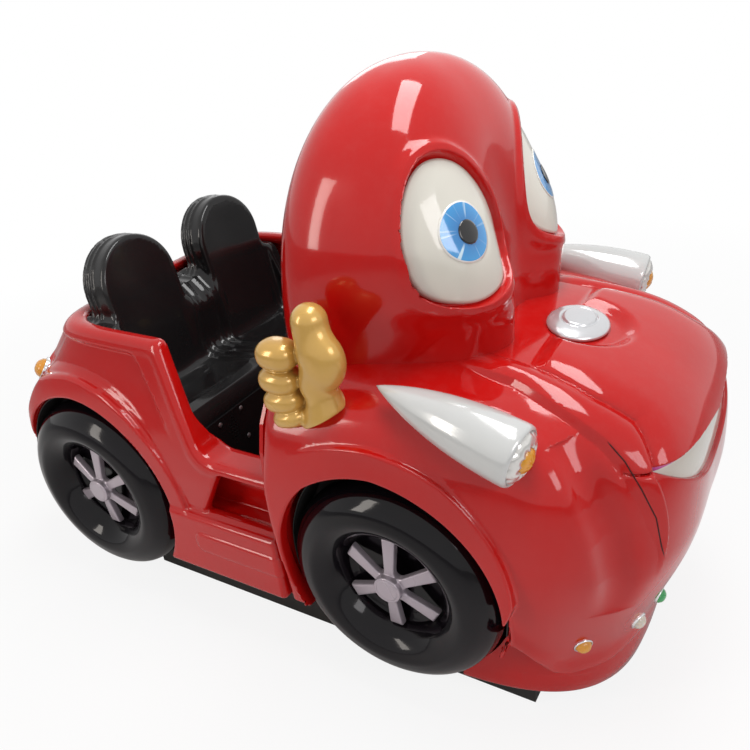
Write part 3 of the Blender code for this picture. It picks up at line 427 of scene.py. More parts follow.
def head_field(x, y, z):
    d = both(head_skin(x, y, z), -(head_plain(x, y, z) + SHELL + 0.012), 0.004)
    return both(d, -(hood_plain(x, y, z) + 0.004), 0.003)


# ---------------------------------------------------------------- rear of the body
TUB = {
    "z": (0.150, 0.220, 0.320, 0.420, 0.490, 0.560, 0.630, 0.690, 0.722),
    "out": (0.070, 0.080, 0.090, 0.094, 0.090, 0.078, 0.064, 0.052, 0.044),
    "long": (0.494, 0.524, 0.550, 0.560, 0.5545, 0.516, 0.452, 0.399, 0.372),
}
heights = np.linspace(0.100, 0.772, 337)
blur = np.exp(-np.linspace(-2.2, 2.2, 41) ** 2)
TUB_FINE = [heights[20:-20]] + [
    np.convolve(np.interp(heights, TUB["z"], TUB[key]), blur / blur.sum(), "valid") for key in ("out", "long")]
TUB_X, TUB_POWER, RAIL_Z, SILL_Z = -0.240, 7.0, 0.722, 0.477
ENTRY = ((-0.264, 0.722), (-0.164, 0.470))


def tub_raw(x, y, z):
    half = BASE_HALF + np.interp(z, TUB_FINE[0], TUB_FINE[1])
    length = np.interp(z, TUB_FINE[0], TUB_FINE[2])
    return ((np.maximum(TUB_X - x, 0) / length) ** TUB_POWER + (np.abs(y) / half) ** TUB_POWER) ** (1 / TUB_POWER) - 1


def tub_plain(x, y, z):
    return tub_raw(x, y, z) * 0.36


def bar(x, y, z, low, high, r):
    """Rounded box."""
    q = [np.abs(c - (a + b) / 2) - (b - a) / 2 + r for c, a, b in zip((x, y, z), low, high)]
    out = np.sqrt(sum(np.maximum(c, 0) ** 2 for c in q))
    return out + np.minimum(np.maximum(np.maximum(q[0], q[1]), q[2]), 0) - r


def rim_height(x, y, z):
    """Above zero over the top edge of the tub, which slopes down to the sill on the right side."""
    (x0, z0), (x1, z1) = ENTRY
    dx, dz = x1 - x0, z1 - z0
    slope = ((z - z0) * dx - (x - x0) * dz) / math.hypot(dx, dz)
    low = union(both(z - RAIL_Z, slope, 0.016), z - SILL_Z, 0.040)
    return np.where(y < -0.25, low, z - RAIL_Z)


def rear_skin(x, y, z):
    w = -np.abs(y)
    d = tub_plain(x, y, z)
    r = np.sqrt((x - AXLES["rear"]) ** 2 + (z - AXLE_Z) ** 2)
    turn = np.degrees(np.arctan2(z - AXLE_Z, x - AXLES["rear"]))
    # panel pressed in between the rail and the arch lip
    ahead = both(x + 0.335 - (0.690 - z) * 0.54, -0.690 - x, 0.010)
    panel = both(both(z - 0.690, 0.322 - r, 0.010), ahead, 0.020)
    d = d + 0.009 * ease(0.004, -0.010, panel) * ease(0.50, 0.62, z) * ease(0.30, 0.33, -w)
    lip = np.interp(turn, (-180, -60, -20, 0, 30, 60, 90, 113, 127, 149, 170, 180),
                    (0.236, 0.262, 0.290, 0.305, 0.307, 0.312, 0.318, 0.312, 0.290, 0.254, 0.238, 0.237))
    slab = both(both(r - lip, np.abs(w) - 0.4110, 0.006), d - 0.018, 0.010)
    return union(d, np.maximum(slab, 0.33 + w), 0.007)


def rear_field(x, y, z):
    w = -np.abs(y)
    plain, rim = tub_plain(x, y, z), rim_height(x, y, z)
    skin = rear_skin(x, y, z)
    wall = both(skin, -(plain + SHELL + 0.012), 0.004)
    wide = 0.038 + 0.036 * ease(-0.21, -0.165, x) * (y < -0.25)
    rail = both(both(skin, -(plain + wide), 0.008), -(rim + 0.030), 0.010)
    d = union(wall, rail, 0.006)
    # lower sill between the wheels, with a raised oblong
    oblong = bar(x, w, z, (-0.215, -0.50, 0.235), (0.075, -0.30, 0.287), 0.024)
    sill = bar(x, w, z, (-0.40, -0.4190, 0.165), (0.020, -0.330, 0.330), 0.014) - 0.0045 * ease(0.003, -0.004, oblong)
    d = union(d, sill, 0.008)
    # inner wall of the footwell and the step hollowed out under the sill rail, on the right side only
    d = union(d, bar(x, y, z, (-0.250, -0.336, 0.165), (0.026, -0.322, 0.470), 0.006), 0.006)
    back = -0.153 + (z - 0.396) * 0.55
    inward = both(y + 0.3405 + (z - 0.337) * 0.30, back - x, 0.010)
    hollow = both(both(z - 0.452, 0.337 - z, 0.010), inward, 0.012)
    d = both(d, -np.maximum(hollow, y + 0.2), 0.010)
    d = both(d, rim, 0.020)
    d = both(d, -arch_hole(x, y, z, "rear"), 0.007)
    d = both(d, -arch_hole(x, y, z, "front"), 0.007)
    # the thin tails of the skin behind the rear arches are cut off
    tail = np.maximum(np.maximum(BASE_HALF - 0.012 - np.abs(y), x + 0.772), z - 0.32)
    d = np.maximum(d, -tail)
    return both(both(d, 0.150 - z, 0.006), x - 0.028, 0.004)


# ---------------------------------------------------------------- finishes
def shader(name, colour, rough, metal=0.0, coat=0.0, **more):
    """A material with plain values on its shader; more are other sockets, by name."""
    mat = bpy.data.materials.new(name)
    mat.use_nodes = True
    node = mat.node_tree.nodes["Principled BSDF"]
    node.inputs["Base Color"].default_value = (*colour, 1)
    node.inputs["Roughness"].default_value = rough
    node.inputs["Metallic"].default_value = metal
    node.inputs["Coat Weight"].default_value = coat
    node.inputs["Coat Roughness"].default_value = 0.03
    for key, value in more.items():
        node.inputs[key.replace("_", " ")].default_value = value
    return mat


def add(tree, kind, links=(), **values):
    """A shader node with socket values set by name and links given as (socket, other socket)."""
    node = tree.nodes.new(kind)
    for key, value in values.items():
        if hasattr(node, key):
            setattr(node, key, value)
        else:
            node.inputs[key.replace("_", " ")].default_value = value
    for key, other in links:
        tree.links.new(other, node.inputs[key])
    return node


def blend(tree, factor, first, second):
    """Mixes two colours, each a plain colour or a socket."""
    node = add(tree, "ShaderNodeMix", (("Factor", factor),), data_type="RGBA")
    for place, colour in ((6, first), (7, second)):
        if isinstance(colour, tuple):
            node.inputs[place].default_value = (*colour, 1)
        else:
            tree.links.new(colour, node.inputs[place])
    return node.outputs[2]


def joined(tree, how, first, second):
    """The result of a maths node on two sockets."""
    return add(tree, "ShaderNodeMath", ((0, first), (1, second)), operation=how).outputs[0]


def effect_group(name, inputs, outputs):
    """A node group with its input and output sockets made; inputs are (name, default)."""
    tree = bpy.data.node_groups.new(name, "ShaderNodeTree")
    for label, value in inputs:
        tree.interface.new_socket(name=label, in_out="INPUT", socket_type="NodeSocketFloat").default_value = value
    for label, kind in outputs:
        tree.interface.new_socket(name=label, in_out="OUTPUT", socket_type=kind)
    return tree, tree.nodes.new("NodeGroupInput"), tree.nodes.new("NodeGroupOutput")


def ripple_group():
    """Hand-laid surface: slow waves and fine peel as a normal, cloudy tone, dull patches."""
    tree, source, out = effect_group(
        "laid_ripple",
        (("Wave Size", 9.0), ("Wave", 0.05), ("Peel Size", 260.0), ("Peel", 0.02),
         ("Gloss Low", 0.08), ("Gloss High", 0.16)),
        (("Normal", "NodeSocketVector"), ("Tone", "NodeSocketFloat"), ("Roughness", "NodeSocketFloat")))
    place = add(tree, "ShaderNodeTexCoord").outputs["Object"]
    wave = add(tree, "ShaderNodeTexNoise", (("Vector", place), ("Scale", source.outputs["Wave Size"])), Detail=1.0)
    peel = add(tree, "ShaderNodeTexNoise", (("Vector", place), ("Scale", source.outputs["Peel Size"])), Detail=1.0)
    low = add(tree, "ShaderNodeBump", (("Height", wave.outputs["Fac"]), ("Strength", source.outputs["Wave"])), Distance=0.03)
    high = add(tree, "ShaderNodeBump", (("Height", peel.outputs["Fac"]), ("Strength", source.outputs["Peel"]),
                                        ("Normal", low.outputs["Normal"])), Distance=0.001)
    cloud = add(tree, "ShaderNodeTexNoise", (("Vector", place),), Scale=3.2, Detail=3.0)
    gloss = add(tree, "ShaderNodeMapRange", (("Value", cloud.outputs["Fac"]), ("To Min", source.outputs["Gloss Low"]),
                                             ("To Max", source.outputs["Gloss High"])), From_Min=0.35, From_Max=0.7)
    tree.links.new(high.outputs["Normal"], out.inputs["Normal"])
    tree.links.new(cloud.outputs["Fac"], out.inputs["Tone"])
    tree.links.new(gloss.outputs["Result"], out.inputs["Roughness"])
    return tree


def dust_group():
    """Settled dust and small pale specks: a mask that grows on faces that look up."""
    tree, source, out = effect_group("settled_dust", (("Size", 40.0), ("Amount", 0.2)), (("Mask", "NodeSocketFloat"),))
    place = add(tree, "ShaderNodeTexCoord").outputs["Object"]
    grain = add(tree, "ShaderNodeTexNoise", (("Vector", place), ("Scale", source.outputs["Size"])),
                Detail=6.0, Roughness=0.7)
    up = add(tree, "ShaderNodeSeparateXYZ", (("Vector", add(tree, "ShaderNodeNewGeometry").outputs["Normal"]),))
    lift = add(tree, "ShaderNodeMapRange", (("Value", up.outputs["Z"]),),
               From_Min=-0.2, From_Max=1.0, To_Min=0.15, To_Max=1.0)
    speck = add(tree, "ShaderNodeMapRange", (("Value", grain.outputs["Fac"]),), From_Min=0.45, From_Max=0.75)
    settled = joined(tree, "MULTIPLY", lift.outputs["Result"], speck.outputs["Result"])
    tree.links.new(joined(tree, "MULTIPLY", settled, source.outputs["Amount"]), out.inputs["Mask"])
    return tree


RIPPLE, DUST = ripple_group(), dust_group()


def finished(name, dark, light, dust=(0.35, 0.32, 0.30), dust_amount=0.10, wave=0.05, wave_size=9.0,
             gloss=(0.08, 0.16), shine=0.22, **more):
    """A moulded or painted finish: two tones in clouds, dust, ripple and uneven gloss."""
    mat = shader(name, light, sum(gloss) / 2, Specular_IOR_Level=shine, **more)
    tree = mat.node_tree
    surface = tree.nodes["Principled BSDF"]
    ripple = add(tree, "ShaderNodeGroup", node_tree=RIPPLE)
    for key, value in (("Wave Size", wave_size), ("Wave", wave), ("Gloss Low", gloss[0]), ("Gloss High", gloss[1])):
        ripple.inputs[key].default_value = value
    specks = add(tree, "ShaderNodeGroup", node_tree=DUST)
    specks.inputs["Amount"].default_value = dust_amount
    tone = blend(tree, ripple.outputs["Tone"], dark, light)
    tree.links.new(blend(tree, specks.outputs["Mask"], tone, dust), surface.inputs["Base Color"])
    tree.links.new(ripple.outputs["Roughness"], surface.inputs["Roughness"])
    tree.links.new(ripple.outputs["Normal"], surface.inputs["Normal"])
    return mat


RED = finished("red_gelcoat", (0.40, 0.0035, 0.003), (0.56, 0.0065, 0.005), dust_amount=0.03, coat=0.35)


# ---------------------------------------------------------------- body pieces
def dress(piece, mat, body="car", replaced=()):
    """Gives a piece its finish and its body, and hides the CAD nodes it stands for."""
    piece.data.materials.clear()
    piece.data.materials.append(mat)
    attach(piece, body)
    if replaced:
        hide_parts(*replaced)
    return piece


front = moulded("front_shell", front_field, (-0.04, -0.46, 0.07), (0.83, 0.46, 0.78), 0.0075, turn=0.22, fine=2)
dress(front, RED, replaced=("body_front",))
head = moulded("head_dome", head_field, (-0.03, -0.38, 0.66), (0.50, 0.38, 1.25), 0.0075, turn=0.22, fine=2)
dress(head, RED, replaced=("head_shell",))
rear = moulded("rear_shell", rear_field, (-0.83, -0.45, 0.13), (0.05, 0.45, 0.75), 0.0075)
dress(rear, RED, replaced=("body_rear", "step_sill"))


# ---------------------------------------------------------------- shapes for the small mouldings
def ball(x, y, z, at, radii):
    q = np.sqrt(sum(((c - o) / r) ** 2 for c, o, r in zip((x, y, z), at, radii)) + 1e-9)
    return (q - 1) * min(radii)


def turned(u, v, angle):
    """Two coordinates seen from axes turned by an angle."""
    return u * math.cos(angle) + v * math.sin(angle), -u * math.sin(angle) + v * math.cos(angle)


def taper(x, y, z, a, b, ra, rb):
    """Round-ended rod whose radius runs from ra to rb."""
    a, b = np.array(a, float), np.array(b, float)
    way, size = unit(b - a), np.linalg.norm(b - a)
    p = [x - a[0], y - a[1], z - a[2]]
    t = np.clip(p[0] * way[0] + p[1] * way[1] + p[2] * way[2], 0, size)
    gap = np.sqrt(sum((c - t * w) ** 2 for c, w in zip(p, way)))
    return gap - ra - (rb - ra) * t / size


def mirrored(piece, name):
    """The same piece on the other side of the car."""
    mesh = piece.data
    co = np.array([v.co for v in mesh.vertices]) * (1, -1, 1)
    normal = np.array([n.vector for n in mesh.vertex_normals]) * (1, -1, 1)
    if mesh.has_custom_normals:
        at = np.array([corner.vertex_index for corner in mesh.loops])
        normal[at] = np.array([corner.vector for corner in mesh.corner_normals]) * (1, -1, 1)
    other = bpy.data.meshes.new(name)
    other.from_pydata(co.tolist(), [], [list(f.vertices)[::-1] for f in mesh.polygons])
    other.shade_smooth()
    other.normals_split_custom_set_from_vertices(normal.tolist())
    return placed(name, other)


def lathe(name, profile, at, axis, turns=96):
    """Surface of revolution from (distance along axis, radius) pairs; ends on the axis close it."""
    axis = Vector(axis).normalized()
    side = axis.orthogonal().normalized()
    other = axis.cross(side)
    bm = bmesh.new()
    rings = []
    for along_axis, radius in profile:
        centre = Vector(at) + axis * along_axis
        if radius < 1e-6:
            rings.append([bm.verts.new(centre)])
        else:
            rings.append([bm.verts.new(centre + (side * math.cos(t) + other * math.sin(t)) * radius)
                          for t in (2 * math.pi * i / turns for i in range(turns))])
    for a, b in zip(rings, rings[1:]):
        for i in range(turns):
            j = (i + 1) % turns
            if len(a) == 1:
                bm.faces.new((a[0], b[j], b[i]))
            elif len(b) == 1:
                bm.faces.new((a[i], a[j], b[0]))
            else:
                bm.faces.new((a[i], a[j], b[j], b[i]))
    bmesh.ops.recalc_face_normals(bm, faces=bm.faces)
    return smooth_piece(name, bm, 50)


def rounded(points, r, steps=5):
    """An open outline with its inner corners rounded to radius r."""
    out = [points[0]]
    for p0, p1, p2 in zip(points, points[1:], points[2:]):
        a, b, c = (np.array(p, float) for p in (p0, p1, p2))
        u, v = a - b, c - b
        la, lc = np.linalg.norm(u), np.linalg.norm(v)
        cut = min(r, la * 0.45, lc * 0.45)
        start, end = b + u / la * cut, b + v / lc * cut
        for i in range(steps + 1):
            t = i / steps
            out.append(tuple((1 - t) ** 2 * start + 2 * t * (1 - t) * b + t * t * end))
    return out + [points[-1]]


BLACK = finished("black_gelcoat", (0.006, 0.006, 0.007), (0.016, 0.015, 0.015), dust=(0.10, 0.09, 0.08), dust_amount=0.05,
                 coat=0.2, wave=0.10, wave_size=7.0, gloss=(0.10, 0.22))
TYRE = finished("tyre_gloss", (0.002, 0.002, 0.003), (0.006, 0.004, 0.006), dust=(0.07, 0.06, 0.05), dust_amount=0.04,
                coat=0.2, gloss=(0.08, 0.16), shine=0.14)
LILAC = finished("lilac_silver", (0.34, 0.29, 0.34), (0.52, 0.46, 0.50), dust_amount=0.05, gloss=(0.20, 0.34),
                 metal=0.35, coat=0.3)
PEARL = finished("pearl_white", (0.52, 0.53, 0.52), (0.66, 0.67, 0.66), dust_amount=0.05, gloss=(0.12, 0.24),
                 metal=0.15, coat=0.6)
GOLD = finished("gold_pearl", (0.46, 0.25, 0.055), (0.70, 0.45, 0.12), dust=(0.45, 0.35, 0.20), dust_amount=0.06,
                gloss=(0.20, 0.34), metal=0.25, coat=0.5)
IVORY = finished("ivory_gloss", (0.60, 0.58, 0.50), (0.72, 0.70, 0.63), dust_amount=0.04, coat=0.5)
PINK = finished("tongue_pink", (0.50, 0.05, 0.28), (0.62, 0.09, 0.38), dust_amount=0.02, coat=0.4)
SILVER = finished("badge_silver", (0.52, 0.53, 0.55), (0.70, 0.71, 0.72), dust_amount=0.04, gloss=(0.16, 0.26),
                  metal=0.6, coat=0.4)
STEEL = finished("zinc_steel", (0.34, 0.35, 0.36), (0.52, 0.53, 0.54), dust=(0.20, 0.17, 0.14), dust_amount=0.30,
                 gloss=(0.28, 0.48), metal=0.9)
GREY = finished("grey_paint", (0.12, 0.125, 0.13), (0.20, 0.205, 0.21), dust_amount=0.30, gloss=(0.35, 0.55))
SHINE = finished("chrome_plate", (0.60, 0.60, 0.61), (0.82, 0.82, 0.83), dust_amount=0.04, gloss=(0.04, 0.12), metal=1.0)
RUBBER = finished("black_plastic", (0.010, 0.010, 0.010), (0.030, 0.029, 0.028), dust=(0.16, 0.14, 0.12),
                  dust_amount=0.25, gloss=(0.35, 0.55))


def lens(name, colour, deep):
    """Tinted lamp plastic that lets a little light in."""
    return finished(name, deep, colour, dust_amount=0.03, gloss=(0.05, 0.12), coat=0.8, wave=0.0,
                    Subsurface_Weight=0.3, Subsurface_Radius=(0.010, 0.006, 0.003))


AMBER = lens("amber_lens", (0.85, 0.42, 0.02), (0.60, 0.22, 0.01))
CLEAR = lens("clear_lens", (0.80, 0.76, 0.66), (0.62, 0.56, 0.45))
GREEN = lens("green_lens", (0.06, 0.50, 0.16), (0.02, 0.28, 0.07))


# ---------------------------------------------------------------- road wheels
TYRE_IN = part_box("tyre_front_left")[0].y
TYRE_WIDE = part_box("tyre_front_left")[1].y - TYRE_IN
# distance out from the tyre's inner face, and radius
tyre_outline = rounded([
    (0.0, 0.0), (0.0, 0.195), (0.014, FAT_TYRE + 0.002), (0.050, FAT_TYRE + 0.003), (0.078, FAT_TYRE - 0.006),
    (TYRE_WIDE + 0.002, 0.196), (TYRE_WIDE + 0.010, 0.166), (TYRE_WIDE + 0.002, 0.146), (0.086, 0.130), (0.066, 0.119),
    (0.052, 0.113), (0.046, 0.112), (0.040, 0.100), (0.036, 0.0)], 0.022, 7)


def spokes_field(x, y, z):
    """One wheel's six-spoke disc, centred on the axle, with y running outward from the tyre's inner face."""
    x, z = x * 1.07, z * 1.07
    r = np.sqrt(x * x + z * z)
    d = r - 0.030
    for i in range(6):
        a = math.radians(90 + 60 * i)
        u, v = x * math.cos(a) + z * math.sin(a), np.abs(x * math.sin(a) - z * math.cos(a))
        spoke = np.maximum(v - 0.0105 - 0.060 * np.maximum(u - 0.02, 0), np.maximum(-u, u - 0.1165))
        d = union(d, spoke, 0.014)
    face = 0.076 - 0.12 * np.maximum(r - 0.035, 0)
    plate = both(both(d, y - face, 0.005), face - 0.017 - y, 0.004)
    cap = both(both(r - 0.0325, y - 0.0895 + 14 * r ** 3, 0.005), 0.060 - y, 0.004)
    groove = 0.0016 * bell(r - 0.0265, 0.0022) * (y > 0.08)
    return union(plate, cap + groove, 0.003)


spokes = moulded("spokes", spokes_field, (-0.125, 0.04, -0.125), (0.125, 0.10, 0.125), 0.0035)
for end, axle_x in AXLES.items():
    tyre = lathe(f"tyre_{end}_left", tyre_outline, (axle_x, TYRE_IN, AXLE_Z), (0, 1, 0), 120)
    dress(tyre, TYRE, replaced=(f"tyre_{end}_left",))
    tyre.name = f"wheel_tyre_{end}_left"
    disc = placed(f"wheel_spokes_{end}_left", spokes.data.copy())
    disc.data.transform(Matrix.Translation((axle_x, TYRE_IN, AXLE_Z)))
    dress(disc, LILAC, replaced=(f"wheel_disc_{end}_left",))
    for piece, mat, what, slot in ((tyre, TYRE, "tyre", "tyre_black"), (disc, LILAC, "wheel_disc", "silver")):
        twin = mirrored(piece, piece.name.replace("left", "right"))
        dress(twin, mat, replaced=(f"{what}_{end}_right",))
bpy.data.objects.remove(spokes)


# ---------------------------------------------------------------- gloves
def glove_field(x, y, z):
    d = ball(x, y, z, (0.183, -0.382, 0.772), (0.046, 0.036, 0.058))
    d = union(d, taper(x, y, z, (0.170, -0.380, 0.795), (0.163, -0.376, 0.844), 0.034, 0.0335), 0.012)
    d = union(d, ball(x, y, z, (0.160, -0.384, 0.722), (0.028, 0.027, 0.036)), 0.018)
    fingers = None
    for fx, fz, wide, tall, tilt in ((0.094, 0.776, 0.042, 0.0300, 0.0), (0.091, 0.725, 0.042, 0.0265, 0.0),
                                     (0.094, 0.684, 0.041, 0.0245, 0.15), (0.106, 0.651, 0.036, 0.0205, 0.25)):
        u, v = turned(x - fx, z - fz, tilt)
        q = (np.abs(u) / wide) ** 2.6 + (np.abs(y + 0.392) / 0.034) ** 2.4 + (np.abs(v) / tall) ** 2.3
        one = ((q + 1e-9) ** (1 / 2.4) - 1) * tall
        fingers = one if fingers is None else union(fingers, one, 0.003)
    d = union(d, fingers, 0.006)
    cuff = taper(x, y, z, (0.172, -0.380, 0.728), (0.176, -0.374, 0.645), 0.023, 0.050)
    floor_cut = (z - 0.647) * 0.86 - (x - 0.160) * 0.50
    cuff = both(cuff, -floor_cut, 0.006)
    d = union(d, cuff, 0.009)
    return both(d, -(hood_plain(x, y, z) + 0.001), 0.002)


glove = moulded("glove_right", glove_field, (0.03, -0.45, 0.60), (0.26, -0.31, 0.90), 0.0042)
dress(glove, GOLD, replaced=("hand_right",))
dress(mirrored(glove, "glove_left"), GOLD, replaced=("hand_left",))


# ---------------------------------------------------------------- seat
SEAT_HALF = 0.3160


def seat_field(x, y, z):
    w = np.abs(y)
    top = np.interp(x, (-0.590, -0.556, -0.548, -0.500, -0.455, -0.395, -0.320, -0.290, -0.262, -0.247),
                    (0.700, 0.700, 0.690, 0.536, 0.524, 0.517, 0.526, 0.530, 0.524, 0.506))
    dish = 0.010 * bell(w - 0.165, 0.09) * ease(-0.255, -0.32, x) * ease(-0.50, -0.44, x)
    rib = 0.0055 * (bell(w - 0.019, 0.007) + bell(w - 0.046, 0.009)) * ease(-0.56, -0.53, x)
    bench = both((z - top + dish - rib) * 0.75, np.maximum(x + 0.247, -0.582 - x), 0.016)
    bench = both(bench, both(w - SEAT_HALF, 0.191 - z, 0.004), 0.006)
    # the two backs lean, each round-topped with three ridges over its edge
    u, v = turned(x + 0.478, z - 0.53, math.radians(9))
    v = v + 0.53
    q = w - 0.165
    out = np.where(v > 0.762, np.sqrt(q * q + (v - 0.762) ** 2), np.abs(q)) - 0.115
    ridge = 0.0035 * (bell(u + 0.004, 0.005) + bell(u + 0.020, 0.005) + bell(u + 0.034, 0.004))
    hollow = 0.006 * bell(q, 0.075) * ease(0.012, 0.036, u)
    slab = both(out - ridge + 0.002, np.abs(u) - 0.0395 + hollow, 0.014)
    slab = both(slab, 0.50 - v, 0.01)
    saddle = both(w - 0.060, (z - 0.698) + 0.9 * np.maximum(x + 0.50, 0), 0.03) - rib
    saddle = both(saddle, np.maximum(x + 0.452, -0.560 - x), 0.02)
    wing = both(both(z - 0.705, -0.582 - x, 0.01), (x + 0.452) + (z - 0.70) * 0.35, 0.02)
    wing = both(both(w - SEAT_HALF, 0.283 - w, 0.008), wing, 0.012)
    return union(union(union(bench, slab, 0.022), saddle, 0.030), wing, 0.024)


seat = moulded("seat_moulding", seat_field, (-0.60, -0.33, 0.17), (-0.23, 0.33, 0.90), 0.0075)
dress(seat, BLACK, replaced=("seat",))


# ---------------------------------------------------------------- wheel wells behind the tyres
def well(name, end):
    """A black liner that closes the arch behind a tyre, on the left side; its radius follows the arch."""
    outline = rounded([(0.006, -0.070), (0.006, -0.004), (0.078, -0.004), (0.078, -0.001), (0.002, -0.001),
                       (0.002, -0.070)], 0.006)
    last = {"front": 188, "rear": 170}[end]
    bm = bmesh.new()
    rows = []
    for a in np.radians(np.linspace(-8, last, 73)):
        size = float(np.interp(math.degrees(a) % 360, *ARCH_HOLE[end]))
        rows.append([bm.verts.new((AXLES[end] + (size + r) * math.cos(a), BASE_HALF + t, AXLE_Z + (size + r) * math.sin(a)))
                     for t, r in outline])
    skin_rows(bm, rows)
    return dress(smooth_piece(name, bm, 40), RUBBER)


for end in AXLES:
    liner = well(f"wheel_well_{end}_left", end)
    dress(mirrored(liner, f"wheel_well_{end}_right"), RUBBER)


# ---------------------------------------------------------------- eyes
def seat_on(field, points, way, level, reach=0.12):
    """Moves points along a direction until field reaches a level."""
    low, high = np.full(len(points), -reach), np.full(len(points), reach)
    for _ in range(30):
        mid = (low + high) / 2
        inside = field(*(points + way * mid[:, None]).T) < level
        low, high = np.where(inside, mid, low), np.where(inside, high, mid)
    return points + way * ((low + high) / 2)[:, None]


def patch(name, points, rows, columns, closed, thick, mat, way, uv=None):
    """A thin sheet through a grid of points, facing a direction and thickened backwards."""
    faces = []
    for i in range(rows - 1):
        for j in range(columns - (0 if closed else 1)):
            k = (j + 1) % columns
            faces.append((i * columns + j, i * columns + k, (i + 1) * columns + k, (i + 1) * columns + j))
    mesh = bpy.data.meshes.new(name)
    mesh.from_pydata([tuple(p) for p in points], [], faces)
    if uv is not None:
        layer = mesh.uv_layers.new(name="disc")
        for loop in mesh.loops:
            layer.data[loop.index].uv = uv[loop.vertex_index]
    bm = bmesh.new()
    bm.from_mesh(mesh)
    bmesh.ops.remove_doubles(bm, verts=bm.verts, dist=1e-6)
    bm.normal_update()
    if sum(f.normal.dot(Vector(way)) * f.calc_area() for f in bm.faces) < 0:
        bmesh.ops.reverse_faces(bm, faces=bm.faces)
    bm.to_mesh(mesh)
    bm.free()
    mesh.shade_smooth()
    piece = placed(name, mesh)
    solid = piece.modifiers.new("thickness", "SOLIDIFY")
    solid.thickness, solid.offset = thick, -1
    return dress(piece, mat)


def iris_paint():
    """Blue ring with pale rays and a fine white edge, laid out from the middle of the disc."""
    mat = shader("iris_blue", (0.02, 0.20, 0.52), 0.12, coat=0.7)
    tree = mat.node_tree
    place = add(tree, "ShaderNodeUVMap", uv_map="disc").outputs["UV"]
    radius = add(tree, "ShaderNodeVectorMath", ((0, place),), operation="LENGTH").outputs["Value"]
    around = add(tree, "ShaderNodeVectorMath", ((0, place),), operation="NORMALIZE").outputs["Vector"]
    rays = add(tree, "ShaderNodeTexNoise", (("Vector", around),), Scale=3.6, Detail=2.0, Roughness=0.6)
    ray = add(tree, "ShaderNodeMapRange", (("Value", rays.outputs["Fac"]),), From_Min=0.585, From_Max=0.66)
    span = add(tree, "ShaderNodeMapRange", (("Value", radius),), From_Min=0.40, From_Max=0.62)
    faint = joined(tree, "MULTIPLY", ray.outputs["Result"], span.outputs["Result"])
    tone = blend(tree, radius, (0.012, 0.10, 0.34), (0.03, 0.30, 0.66))
    lit = blend(tree, faint, tone, (0.55, 0.72, 0.82))
    edge = add(tree, "ShaderNodeMapRange", (("Value", radius),), From_Min=0.935, From_Max=0.95)
    ringed = blend(tree, edge.outputs["Result"], lit, (0.80, 0.79, 0.75))
    tree.links.new(ringed, tree.nodes["Principled BSDF"].inputs["Base Color"])
    return mat


IRIS = iris_paint()
PUPIL = finished("pupil_black", (0.004, 0.004, 0.005), (0.012, 0.010, 0.010), dust_amount=0.0, gloss=(0.05, 0.10), coat=0.8,
                 wave=0.0)


def eye_disc(name, side, at, half, lift, rows, mat, thick, dome=0.0, egg=False):
    """A disc laid on the domed white of an eye; half is its half width and half height."""
    across, rise, look = eye_axes(side)
    turns = 72
    rr, tt = np.meshgrid(np.linspace(0, 1, rows), np.linspace(0, 2 * np.pi, turns, endpoint=False), indexing="ij")
    out, up = (rr * np.cos(tt)).ravel(), (rr * np.sin(tt)).ravel()
    v = half[1] * up
    wide, shear = half[0], 0
    if egg:
        wide = wide * np.where(np.cos(tt).ravel() > 0, 1.0, 0.85) * (1 - EYE_EGG * np.clip(v / BULGE_TALL, -1, 1))
        shear = EYE_TILT * v
    u = at[0] + wide * out - shear
    v = v + at[1]
    base = EYE_AT[side] + u[:, None] * across + v[:, None] * rise
    on = seat_on(lambda x, y, z: head_plain(x, -np.abs(y), z), base, look, -0.0075)
    whole = np.clip(((u + EYE_TILT * v) / np.where(u > 0, BULGE_OUT, BULGE_IN)) ** 2 + (v / BULGE_TALL) ** 2, 0, 1)
    on = on + look * (0.012 * (1 - whole) + lift + dome * (1 - rr.ravel() ** 2))[:, None]
    return patch(name, on, rows, turns, True, thick, mat, look, np.stack([out, up], -1))


for word, side in (("right", -1), ("left", 1)):
    white = eye_disc(f"eye_white_{word}", side, (0, 0), (0.1125, 0.1285), 0.0, 24, IVORY, 0.0055, egg=True)
    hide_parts(f"eye_{word}")
    eye_disc(f"iris_{word}", side, (0.0, -0.006), (0.053, 0.054), 0.0012, 14, IRIS, 0.001)
    eye_disc(f"pupil_{word}", side, (0.002, -0.008), (0.0215, 0.0215), 0.0024, 8, PUPIL, 0.0015, dome=0.0012)


# ---------------------------------------------------------------- smile
def front_patch(name, y0, y1, low_of, high_of, depth, mat, thick, rows=12, columns=80):
    """A sheet on the front of the car between two lines of height, sunk by -depth."""
    s, t = np.meshgrid(np.linspace(y0, y1, columns), np.linspace(0, 1, rows))
    z = low_of(s) * (1 - t) + high_of(s) * t
    base = np.stack([np.full(s.size, 0.75), s.ravel(), z.ravel()], -1)
    on = seat_on(lambda x, y, z: hood_plain(x, -np.abs(y), z), base, np.array([1.0, 0, 0]), depth, 0.2)
    return patch(name, on, rows, columns, False, thick, mat, (1, 0, 0))


def above_smile(y):
    return smile_lines(y)[1] + 0.012


teeth = front_patch("smile_white", -0.258, 0.258, lambda y: smile_lines(y)[0] - 0.006, above_smile, -0.0085, IVORY, 0.003)
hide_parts("mouth_insert")
front_patch("smile_tongue", -0.252, 0.252, lambda y: 0.574 + 0.027 * (np.abs(y) / 0.255) ** 1.2, above_smile,
            -0.0068, PINK, 0.0015, rows=6)


